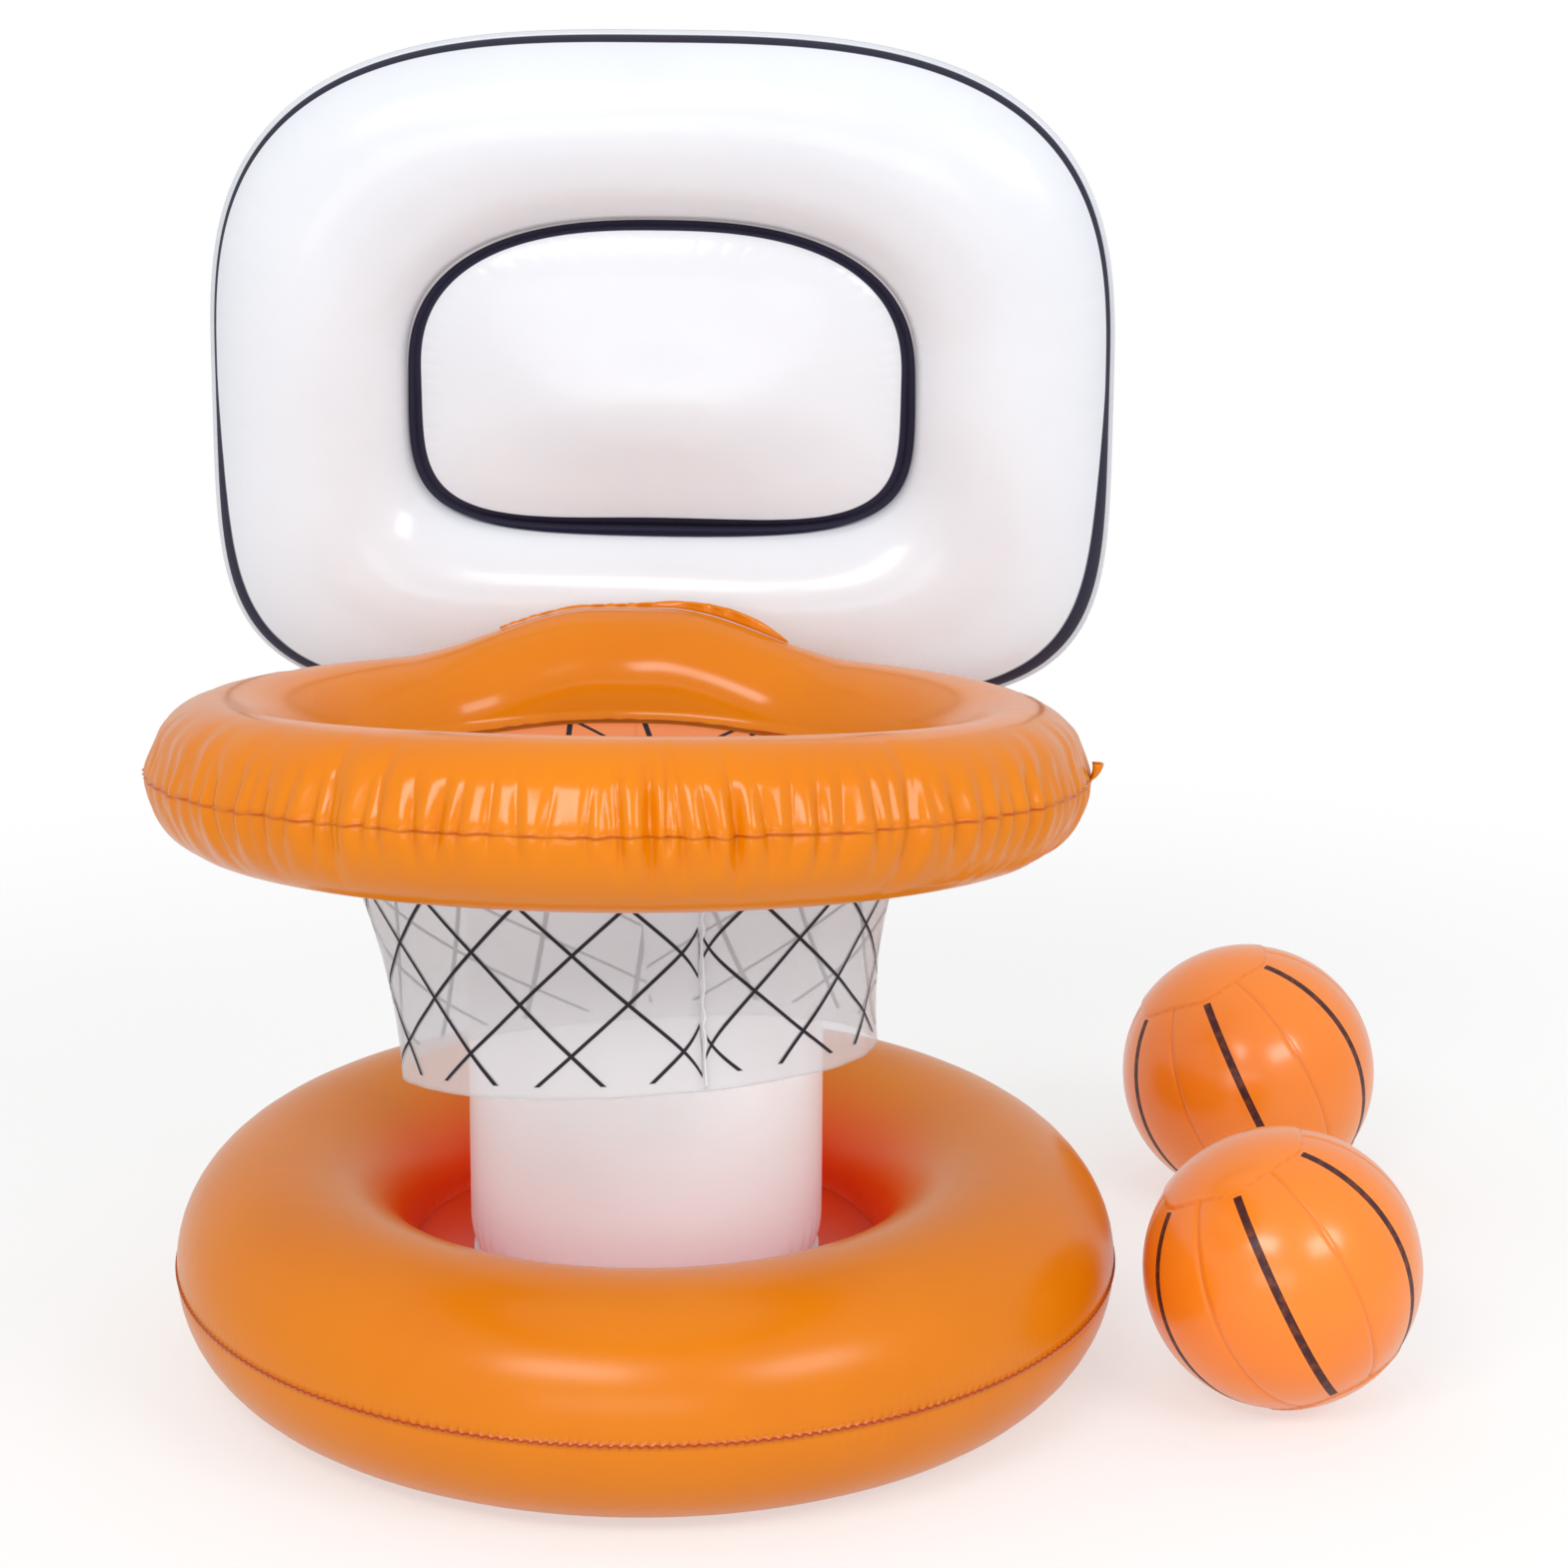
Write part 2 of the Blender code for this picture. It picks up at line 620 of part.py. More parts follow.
# the origin is the middle of the part's footprint, on the floor
bpy.context.view_layer.update()
graph = bpy.context.evaluated_depsgraph_get()
lows, highs = [], []
for piece in parts.objects:
    if piece.type == "MESH":
        solid = piece.evaluated_get(graph)
        for vert in solid.to_mesh().vertices:
            spot = piece.matrix_world @ vert.co
            lows.append(spot)
        solid.to_mesh_clear()
low = Vector([min(spot[k] for spot in lows) for k in range(3)])
high = Vector([max(spot[k] for spot in lows) for k in range(3)])
root.location = Vector((-(low.x + high.x) / 2, -(low.y + high.y) / 2, -low.z))
bpy.context.view_layer.update()
print("origin moved by", [round(v, 6) for v in root.location], "size", [round(v, 5) for v in high - low])
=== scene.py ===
import math

import bpy
import numpy as np
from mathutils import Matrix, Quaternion, Vector


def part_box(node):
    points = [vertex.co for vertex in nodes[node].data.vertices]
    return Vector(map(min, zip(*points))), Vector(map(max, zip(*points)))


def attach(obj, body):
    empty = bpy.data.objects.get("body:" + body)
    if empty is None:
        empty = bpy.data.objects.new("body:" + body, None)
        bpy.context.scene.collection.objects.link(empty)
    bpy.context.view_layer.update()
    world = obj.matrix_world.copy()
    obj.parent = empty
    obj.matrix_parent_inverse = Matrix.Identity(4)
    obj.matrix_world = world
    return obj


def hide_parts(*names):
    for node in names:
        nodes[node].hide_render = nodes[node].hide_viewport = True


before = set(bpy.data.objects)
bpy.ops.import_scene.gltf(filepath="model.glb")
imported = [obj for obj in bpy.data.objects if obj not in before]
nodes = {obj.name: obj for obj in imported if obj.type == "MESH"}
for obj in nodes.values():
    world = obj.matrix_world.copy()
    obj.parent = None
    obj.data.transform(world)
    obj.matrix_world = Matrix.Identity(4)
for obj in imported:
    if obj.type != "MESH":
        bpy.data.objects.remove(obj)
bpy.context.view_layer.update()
print("frame loaded:", len(nodes), "nodes")

# the base ring's middle, read from the frame, is where the column stands
baseLow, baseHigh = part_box("base_upper_panel")
axis = np.array([(baseLow.x + baseHigh.x) / 2, (baseLow.y + baseHigh.y) / 2, 0.0])
tau = 2 * math.pi
behind = math.pi / 2


def corners(name):
    # the node's vertices in world metres
    node = nodes[name]
    flat = np.empty(len(node.data.vertices) * 3, dtype=np.float32)
    node.data.vertices.foreach_get("co", flat)
    turn = np.array(node.matrix_world)
    return flat.reshape(-1, 3) @ turn[:3, :3].T + turn[:3, 3]


def turnFrom(u, place):
    # the angle between two directions round the ring, from minus half a turn to plus half a turn
    return (u - place + math.pi) % tau - math.pi


# every finished piece is a grid of points: the first index runs round, the second across
def surface(name, points, roundClosed=True, acrossClosed=False, fields=None, uv=None, flip=False):
    nu, nv = points.shape[:2]
    ids = np.arange(nu * nv).reshape(nu, nv)
    a = ids if roundClosed else ids[:-1]
    b = np.roll(ids, -1, 0) if roundClosed else ids[1:]
    if acrossClosed:
        quads = np.stack([a, b, np.roll(b, -1, 1), np.roll(a, -1, 1)], -1)
    else:
        quads = np.stack([a[:, :-1], b[:, :-1], b[:, 1:], a[:, 1:]], -1)
    quads = quads.reshape(-1, 4)
    if flip:
        quads = quads[:, ::-1]
    mesh = bpy.data.meshes.new(name)
    mesh.vertices.add(nu * nv)
    mesh.vertices.foreach_set("co", np.ascontiguousarray(points, dtype=np.float32).ravel())
    mesh.loops.add(quads.size)
    mesh.loops.foreach_set("vertex_index", quads.ravel().astype(np.int32))
    mesh.polygons.add(len(quads))
    mesh.polygons.foreach_set("loop_start", np.arange(0, quads.size, 4, dtype=np.int32))
    mesh.polygons.foreach_set("loop_total", np.full(len(quads), 4, dtype=np.int32))
    mesh.update(calc_edges=True)
    mesh.shade_smooth()
    for key, values in (fields or {}).items():
        layer = mesh.attributes.new(key, "FLOAT", "POINT")
        layer.data.foreach_set("value", np.broadcast_to(values, (nu, nv)).astype(np.float32).ravel())
    if uv is not None:
        layer = mesh.uv_layers.new(name="UVMap")
        flat = uv.reshape(-1, 2)[quads.ravel()]
        layer.data.foreach_set("uv", flat.astype(np.float32).ravel())
    mesh.validate()
    piece = bpy.data.objects.new(name, mesh)
    bpy.context.scene.collection.objects.link(piece)
    return piece


def dress(piece, body, slot, paint, *replaced):
    piece.data.materials.clear()
    piece.data.materials.append(paint)
    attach(piece, body)
    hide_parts(*replaced)
    return piece


def smooth(low, high, x):
    t = np.clip((x - low) / (high - low), 0, 1)
    return t * t * (3 - 2 * t)


def ripple(u, seed, waves):
    # a sum of a few sines round the loop, so it closes on itself
    rng = np.random.default_rng(seed)
    total = 0 * u
    for k in waves:
        total = total + rng.normal() * np.sin(k * u + rng.uniform(0, tau))
    return total / math.sqrt(len(waves))


class Field:
    def __init__(self, tree, socket):
        self.tree, self.socket = tree, socket

    def math(self, operation, *others):
        node = self.tree.nodes.new("ShaderNodeMath")
        node.operation = operation
        for slot, value in zip(node.inputs, (self, *others)):
            if isinstance(value, Field):
                self.tree.links.new(value.socket, slot)
            else:
                slot.default_value = value
        return Field(self.tree, node.outputs[0])

    def __add__(self, other):
        return self.math("ADD", other)

    def __sub__(self, other):
        return self.math("SUBTRACT", other)

    def __rsub__(self, other):
        return self.math("MULTIPLY", -1.0).math("ADD", other)

    def __mul__(self, other):
        return self.math("MULTIPLY", other)

    def __truediv__(self, other):
        return self.math("DIVIDE", other)

    def __abs__(self):
        return self.math("ABSOLUTE")

    def step(self, low, high):
        # 0 below low, 1 above high, eased in between
        node = self.tree.nodes.new("ShaderNodeMapRange")
        node.interpolation_type = "SMOOTHSTEP"
        self.tree.links.new(self.socket, node.inputs["Value"])
        node.inputs["From Min"].default_value = low
        node.inputs["From Max"].default_value = high
        return Field(self.tree, node.outputs["Result"])


class Paint:
    def __init__(self, name, **values):
        self.material = bpy.data.materials.new(name)
        self.material.use_nodes = True
        self.tree = self.material.node_tree
        self.shader = self.tree.nodes["Principled BSDF"]
        for key, value in values.items():
            self.put(key.replace("_", " "), value)

    def put(self, socket, value):
        if isinstance(value, Field):
            self.tree.links.new(value.socket, self.shader.inputs[socket])
        else:
            if socket.endswith("Color"):
                value = (*value, 1.0)
            self.shader.inputs[socket].default_value = value

    def node(self, kind, output=0, inputs=None, **settings):
        node = self.tree.nodes.new(kind)
        for key, value in settings.items():
            setattr(node, key, value)
        for key, value in (inputs or {}).items():
            if isinstance(value, Field):
                self.tree.links.new(value.socket, node.inputs[key])
            else:
                node.inputs[key].default_value = value
        return Field(self.tree, node.outputs[output])

    def place(self):
        return self.node("ShaderNodeTexCoord", "Object")

    def field(self, name):
        return self.node("ShaderNodeAttribute", "Fac", attribute_name=name)

    def noise(self, scale, detail=2.0):
        return self.node("ShaderNodeTexNoise", "Fac",
                         {"Vector": self.place(), "Scale": scale, "Detail": detail})

    def cloud(self, scale):
        # broad and faint blotches, from 0 to 1
        return self.noise(scale, 3.0).step(0.35, 0.75)

    def mix(self, share, first, second):
        node = self.tree.nodes.new("ShaderNodeMix")
        node.data_type = "RGBA"
        for slot, value in ((0, share), (6, first), (7, second)):
            if isinstance(value, Field):
                self.tree.links.new(value.socket, node.inputs[slot])
            elif slot == 0:
                node.inputs[slot].default_value = value
            else:
                node.inputs[slot].default_value = (*value, 1.0)
        return Field(self.tree, node.outputs[2])

    def bump(self, *layers):
        # each layer is a height field and its depth in metres
        normal = None
        for height, depth in layers:
            inputs = {"Height": height, "Distance": depth, "Strength": 1.0}
            if normal is not None:
                inputs["Normal"] = normal
            normal = self.node("ShaderNodeBump", "Normal", inputs)
        self.put("Normal", normal)


def filmPaint(name, look):
    # glossy vinyl: faint cloudiness, fine waviness and darker welds; orange film also takes a painted
    # shade, a deeper red inside the base ring's hollow, and the column's film a faint painted glow
    paint = Paint(name, Roughness=look["roughness"], Coat_Weight=look["coat"],
                  Coat_Roughness=look.get("gloss", 0.13), IOR=1.5, Specular_IOR_Level=look["specular"],
                  Emission_Color=look.get("light", (0.0, 0.0, 0.0)), Emission_Strength=1.0,
                  Subsurface_Weight=look["glow"], Subsurface_Scale=0.02,
                  Subsurface_Radius=look["radius"])
    colour = paint.mix(paint.cloud(9.0), look["colour"], look["deep"])
    # painted shade: a deeper red inside the base ring's hollow, standing in for light bounced round
    # between the orange film
    if "wellShadeColour" in look:
        colour = paint.mix(paint.field("wellShade"), colour, look["wellShadeColour"])
    colour = paint.mix(paint.field("weld") * look["weldShare"], colour, look["weldColour"])
    paint.put("Base Color", colour)
    paint.bump((paint.noise(55.0), look["wave"]))
    return paint.material


# the deep red for the base ring's hollow is painted shade, not the film's own colour
orangeLook = {"colour": (0.735, 0.207, 0.0), "deep": (0.705, 0.190, 0.0), "roughness": 0.30,
              "weldColour": (0.44, 0.026, 0.001), "weldShare": 0.95, "wave": 0.0004, "glow": 0.06,
              "radius": (1.0, 0.4, 0.2), "specular": 0.04, "wellShadeColour": (0.96, 0.045, 0.001)}
whiteLook = {"colour": (0.83, 0.825, 0.865), "deep": (0.805, 0.80, 0.845), "roughness": 0.30, "coat": 0.4,
             "weldColour": (0.70, 0.68, 0.73), "weldShare": 0.6, "wave": 0.0004, "glow": 0.1,
             "radius": (0.6, 0.5, 0.5), "specular": 0.4}
# painted light: the column's white film is painted brighter and bluer than the same film elsewhere, with
# a faint painted glow standing in for light that comes through the hollow column's thin film, to lift the
# shade under the hoop and the red light bounced from the base
columnBrightenedLook = {**whiteLook, "colour": (0.95, 0.97, 0.995), "deep": (0.93, 0.95, 0.98),
              "light": (0.035, 0.065, 0.085)}
orangeFilm = filmPaint("orangeFilm", {**orangeLook, "gloss": 0.16, "coat": 0.56})
# the base's film has a softer gloss than the hoop's
baseFilm = filmPaint("baseFilm", {**orangeLook, "gloss": 0.26, "coat": 0.6})
columnBrightenedFilm = filmPaint("columnBrightenedFilm", columnBrightenedLook)
whiteFilm = filmPaint("whiteFilm", whiteLook)


def section(tube, halfHeight):
    # once round the tube: angle, reach past the tube at a lip's rim, and height above the seam;
    # gather draws the rows towards the outer weld
    half, rows = tube["film"] / 2, tube["rows"]
    start = math.asin(half / halfHeight)
    upper = start + (math.pi - 2 * start) * np.linspace(0, 1, rows) ** tube["gather"]
    v = np.concatenate([[0], upper, [math.pi, math.pi], tau - upper[::-1], [tau]])
    none = np.zeros(rows)
    reach = tube["lip"] * np.concatenate([[1], none, [1, 1], none, [1]])
    lift = half * np.concatenate([[1], none, [1, -1], none, [-1]])
    return v, reach, lift


base = {"outer": 0.330, "halfWidth": 0.083, "halfHeight": 0.081, "flatCut": 0.0006, "lip": 0.0018,
        "film": 0.0009, "seamHeight": 0.0804, "steps": 1560, "rows": 26, "gather": 1.25,
        "ripples": 312, "rippleDepth": 0.0005, "broadDepth": 0.0009, "tuck": 0.0009, "lipWave": 0.0007,
        "mark": 0.004, "wellShade": 0.92}


def baseRing():
    v, reach, lift = section(base, base["halfHeight"])
    u = np.linspace(0, tau, base["steps"], endpoint=False)[:, None]
    centre = base["outer"] - base["halfWidth"]
    fromOuter = np.minimum(v, tau - v)
    fromInner = np.abs(v - math.pi)
    onLip = reach > 0
    # small creases run up and down from both welds and die out within about a centimetre
    creaseWave = np.sin(base["ripples"] * u + 2.5 * ripple(u, 4, (3, 5, 8, 13)))
    crease = (0.5 + 0.5 * creaseWave) ** 2 * (0.55 + 0.45 * ripple(u, 9, (4, 7, 11, 17)))
    creaseDepth = base["rippleDepth"] * crease * (np.exp(-(fromOuter / 0.12) ** 2)
                                                   + np.exp(-(fromInner / 0.15) ** 2)) * ~onLip
    broad = base["broadDepth"] * ripple(u, 21, (2, 3, 5)) * np.sin(v) ** 2
    tuck = base["tuck"] * np.exp(-(np.minimum(fromOuter, fromInner) / 0.035) ** 1.4)
    a = base["halfWidth"] - creaseDepth + broad - tuck
    b = base["halfHeight"] - creaseDepth
    side = np.where(fromOuter < math.pi / 2, 1.0, -1.0)
    radius = centre + a * np.cos(v) + side * reach
    z = b * np.sin(v) + lift
    lipWave = base["lipWave"] * np.sin(base["ripples"] * u + 3 * ripple(u, 5, (3, 4, 9)))
    z = z + onLip * reach / base["lip"] * lipWave
    z = np.maximum(z, -(base["halfHeight"] - base["flatCut"]))
    points = np.stack([radius * np.cos(u), radius * np.sin(u), z + base["seamHeight"]], -1) + axis
    # a thin dark line along the outer weld with a small mark at each crease; the inner side, from past
    # the top down into the hollow, is painted a deeper red, a painted shade standing in for light bounced
    # round inside the hollow
    mark = base["mark"] * (1 + np.maximum(0, creaseWave) ** 6)
    weld = np.where(onLip, 1.0, np.exp(-(fromOuter / mark) ** 2)) * (fromOuter < math.pi / 2)
    pastTop = np.where(v < math.pi, v - math.pi / 2, 1.5 * math.pi - v + 0.9)
    wellShade = base["wellShade"] * smooth(0.20, 0.95, pastTop / (math.pi / 2))
    piece = surface("base_ring", points, acrossClosed=True, fields={"weld": weld, "wellShade": wellShade})
    return dress(piece, "hoop", "orange_film", baseFilm, "base_upper_panel", "base_lower_panel")


baseRing()
print("base ring made")

column = {"radius": 0.1235, "seamRadius": 0.1135, "shoulder": 0.026, "lip": 0.008, "film": 0.0012,
          "dish": 0.010, "dishRadius": 0.0988, "dome": 0.006, "steps": 360, "discSteps": 180,
          "creases": 58, "creaseDepth": 0.0016, "middle": 0.0005}
web = {"tucked": 0.0025, "inner": 0.100, "steps": 240, "weld": 0.45}


def turnedFilm(name, radii, heights, steps, paint, slot, replaced, weld=0.0):
    # a profile turned about the column's axis; the painted shade of the base ring's hollow, a deeper red,
    # shows only on orange film
    u = np.linspace(0, tau, steps, endpoint=False)[:, None]
    points = np.stack([radii * np.cos(u), radii * np.sin(u), heights + 0 * u], -1) + axis
    piece = surface(name, points, fields={"weld": weld, "wellShade": base["wellShade"]})
    return dress(piece, "hoop", slot, paint, replaced)


def closedProfile(points, thickness):
    # offsets an open profile inwards by its thickness and joins the two into one closed line
    p = np.asarray(points, float)
    d = np.gradient(p, axis=0)
    d /= np.linalg.norm(d, axis=1)[:, None]
    inner = p + thickness * np.stack([-d[:, 1], d[:, 0]], -1)
    return np.concatenate([p, inner[::-1]])


def columnWall(low, high, lipOut, discLow, discHigh):
    seam, film, shoulder = column["seamRadius"], column["film"], column["shoulder"]
    bulge = column["radius"] - seam
    a = np.linspace(0, math.pi / 2, 18)
    foot = np.stack([seam + bulge * np.sin(a), low + film + shoulder * (1 - np.cos(a))], -1)
    top = np.stack([seam + bulge * np.cos(a), high - film - shoulder * (1 - np.sin(a))], -1)
    middle = np.stack([np.full(40, column["radius"]), np.linspace(foot[-1, 1], top[0, 1], 42)[1:-1]], -1)
    # both welds are closed by the lip's rim, which reaches the discs
    line = np.concatenate([[[lipOut, discLow - film], [lipOut, low + film]], foot, middle, top,
                           [[lipOut, high - film], [lipOut, discHigh + film]]])
    u = np.linspace(0, tau, column["steps"], endpoint=False)[:, None]
    radius, height = line[None, :, 0], line[None, :, 1]
    fromEnd = np.minimum(height - low, high - height)
    # creases run up from the foot weld and down from the top weld
    creases = (0.5 + 0.5 * np.sin(column["creases"] * u + 3 * ripple(u, 31, (2, 5, 7, 9)))) ** 3
    creases = creases * (0.6 + 0.4 * ripple(u, 33, (3, 5, 8)))
    radius = radius - column["creaseDepth"] * creases * np.exp(-((fromEnd - 0.012) / 0.014) ** 2)
    points = np.stack([radius * np.cos(u), radius * np.sin(u), height + 0 * u], -1) + axis
    piece = surface("column_wall_film", points, fields={"weld": np.exp(-(fromEnd / 0.003) ** 2)})
    dress(piece, "hoop", "white_film", columnBrightenedFilm, "column_wall")


def columnPieces():
    wallLow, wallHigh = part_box("column_wall")
    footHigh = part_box("column_foot_disc")[1].z
    topLow, topHigh = (corner.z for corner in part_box("column_top_disc"))
    lipOut = column["seamRadius"] + column["lip"]
    columnWall(wallLow.z, wallHigh.z, lipOut, footHigh, topLow)
    a = np.linspace(0, math.pi / 2, 12)
    dishRadius, dish, dome = column["dishRadius"], column["dish"], column["dome"]
    rim = [lipOut, (lipOut + dishRadius) / 2]
    radii = np.concatenate([rim, dishRadius * np.cos(a), [column["middle"]]])
    heights = np.concatenate([[footHigh] * 2, footHigh - dish * np.sin(a), [footHigh - dish]])
    turnedFilm("column_foot_film", radii, heights, column["discSteps"], columnBrightenedFilm, "white_film",
               "column_foot_disc")
    radii = np.concatenate([[lipOut], column["seamRadius"] * np.cos(a), [column["middle"]]])
    heights = np.concatenate([[topHigh - dome], topHigh - dome * (1 - np.sin(a)), [topHigh]])
    turnedFilm("column_top_film", radii, heights, column["discSteps"], columnBrightenedFilm, "white_film",
               "column_top_disc")
    # the web's edge is tucked into the ring's inner weld; the whole web carries the painted shade of the
    # base ring's hollow, a deeper red
    webLow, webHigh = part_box("base_web")
    radii = np.linspace((webHigh.x - webLow.x) / 2 + web["tucked"], web["inner"], 10)
    line = closedProfile(np.stack([radii, radii * 0 + webHigh.z], -1), column["film"])
    turnedFilm("base_web_film", line[:, 0], line[:, 1], web["steps"], baseFilm, "orange_film", "base_web",
               web["weld"])


columnPieces()
print("column made")

hoop = {"outer": 0.2965, "tube": 0.047, "height": 0.5085, "tilt": math.radians(9.05), "lip": 0.0014,
        "film": 0.0009, "steps": 1450, "rows": 30, "gather": 1.4, "droop": 0.003, "lift": 0.006,
        "swell": 0.0245, "flat": math.radians(5.5), "end": math.radians(36.5),
        "lean": math.radians(106), "crown": behind + math.radians(2.5), "frontSwell": 0.004,
        "puckers": 108, "puckerDepth": 0.0052, "tuck": 0.0008, "flatAt": 0.34, "flatHalf": 0.30,
        "flatShare": 0.85,
        "creases": (239.4, 274, 277.5, 280.8, 287, 308.7, 20, 64, 118, 151, 172)}
hoopCentre = hoop["outer"] - hoop["tube"]
hoop["reach"] = hoopCentre * math.cos(hoop["tilt"])


def onHoop(x, y, z):
    # from the ring's own level frame to its tilted place
    c, s = math.cos(hoop["tilt"]), math.sin(hoop["tilt"])
    back, up = y * c + z * s - hoop["reach"], -y * s + z * c + hoop["height"]
    return np.stack([x + 0 * (y + z), back, up], -1) + axis


def humpShare(u):
    return smooth(0, 1, (hoop["end"] - np.abs(turnFrom(u, hoop["crown"]))) / (hoop["end"] - hoop["flat"]))


def hoopRise(u):
    return hoop["lift"] * humpShare(u) - hoop["droop"] * np.cos(u) ** 2


def onRing(u, radius, height):
    return onHoop(radius * np.cos(u), radius * np.sin(u), height + hoopRise(u))


def plainTube(u, v):
    # the tube's radius without its creases, swollen at the hump and at the front
    fromLean = v - hoop["lean"]
    fromLean = np.where(fromLean > 0, fromLean * 0.88, fromLean)
    swell = hoop["swell"] * humpShare(u) * np.maximum(0, np.cos(fromLean)) ** 2
    return hoop["tube"] + swell + hoop["frontSwell"] * np.maximum(0, -np.sin(u)) ** 2


def hoopTube(u, v):
    # creases lie across the tube, deepest at the outer weld, with the film bellied out between them;
    # they run furthest at the ring's two ends, and a few big ones run much further anywhere
    rng = np.random.default_rng(12)
    count, more = hoop["puckers"], len(hoop["creases"])
    where = np.concatenate([(np.arange(count) + rng.uniform(-0.26, 0.26, count)) * tau / count,
                            np.radians(hoop["creases"])])
    depth = np.concatenate([rng.uniform(0.45, 1.0, count), rng.uniform(1.1, 1.4, more)])
    width = np.concatenate([rng.uniform(0.30, 0.46, count) * tau / count,
                            rng.uniform(0.020, 0.027, more)])
    up = np.concatenate([rng.uniform(0.50, 0.88, count), rng.uniform(0.75, 1.0, more)])
    down = np.concatenate([rng.uniform(0.18, 0.30, count), rng.uniform(0.4, 0.65, more)])
    ends = np.cos(where) ** 2
    down = down + 0.7 * ends
    depth, width = depth * (1 - 0.15 * ends), width * (1 + 0.9 * ends)
    skew = rng.uniform(-0.025, 0.025, count + more)
    wrapped = np.where(v > math.pi, v - tau, v)
    total = 0 * (u + v)
    for k in range(count + more):
        reach = np.where(wrapped >= 0, wrapped / up[k], -wrapped / down[k])
        near = np.abs(turnFrom(u, where[k] + skew[k] * wrapped)) / (width[k] * (1.0 + 0.3 * reach))
        near = np.minimum(near, 1)
        sharp, soft = (1 - near) ** 1.8, 0.5 + 0.5 * np.cos(math.pi * near)
        total = total + depth[k] * (sharp + (soft - sharp) * ends[k]) * np.exp(-reach ** 2.6)
    belly = (0.0010 + 0.0006 * ripple(u, 61, (29, 37, 46, 58))) * np.exp(-(wrapped / 0.6) ** 2)
    # just above the outer weld the film is pulled nearly flat, like a chord of the tube's circle
    fromFlat = np.clip(wrapped - hoop["flatAt"], -hoop["flatHalf"], hoop["flatHalf"])
    flat = hoop["flatShare"] * hoop["tube"] * (1 - math.cos(hoop["flatHalf"]) / np.cos(fromFlat))
    tuck = hoop["tuck"] * np.exp(-(np.abs(wrapped) / 0.05) ** 1.4)
    return plainTube(u, v) + belly - flat - hoop["puckerDepth"] * total - tuck


def hoopRing():
    v, reach, lift = section(hoop, hoop["tube"])
    u = np.linspace(0, tau, hoop["steps"], endpoint=False)[:, None]
    fromOuter = np.minimum(v, tau - v)
    onLip = reach > 0
    tube = hoopTube(u, v)
    side = np.where(fromOuter < math.pi / 2, 1.0, -1.0)
    radius = hoopCentre + tube * np.cos(v) + side * reach
    z = tube * np.sin(v) + lift + 0 * u
    # the outer weld's line wavers a little with the puckers
    wave = 0.0003 * np.sin(hoop["puckers"] * u + 2 * ripple(u, 14, (5, 9, 12, 17)))
    wave = wave + 0.0004 * ripple(u, 15, (23, 31, 47))
    z = z + wave * np.exp(-(fromOuter / 0.2) ** 2)
    points = onRing(u, radius, z)
    fromInner = np.abs(v - math.pi)
    # its dark line comes and goes, and is strongest at the ring's two ends
    faint = 0.5 + 0.4 * np.sin(37 * u + 3 * ripple(u, 16, (7, 11, 19)))
    faint = faint * (0.75 + 0.25 * np.cos(u) ** 2)
    weld = np.where(onLip, 1.0, np.exp(-(np.minimum(fromOuter, fromInner) / 0.006) ** 2)) * faint
    piece = surface("hoop_ring", points, acrossClosed=True, fields={"weld": weld})
    return dress(piece, "hoop", "orange_film", orangeFilm, "hoop_upper_panel", "hoop_lower_panel")


hoopRing()
print("hoop ring made")

board = {"plane": 0.092, "halfWidth": 0.308, "bottom": 0.457, "top": 0.9223, "shift": 0.006,
         "tube": 0.045, "pillow": 0.020, "grooveHalf": 0.170, "grooveBottom": 0.5836,
         "grooveTop": 0.7934, "powers": (3.0, 4.8), "groovePowers": (2.5, 4.5), "band": 0.005,
         "lip": 0.003, "film": 0.0012, "gap": 0.00015, "steps": 720, "line": 0.0034,
         "cornerLine": 0.0095, "sag": 0.010, "creases": 64, "creaseDepth": 0.0003,
         "broadDepth": 0.0012}
boardInk = (0.014, 0.012, 0.035)


def rounded(theta, halfWidth, bottom, top, powers, inset=0.0):
    power = np.where(np.sin(theta) >= 0, powers[0], powers[1])
    c, s = np.cos(theta), np.sin(theta)
    scale = (np.abs(c) ** power + np.abs(s) ** power) ** (-1 / power)
    middle, halfHeight = (bottom + top) / 2, (top - bottom) / 2
    return (halfWidth + inset) * c * scale, middle + (halfHeight + inset) * s * scale


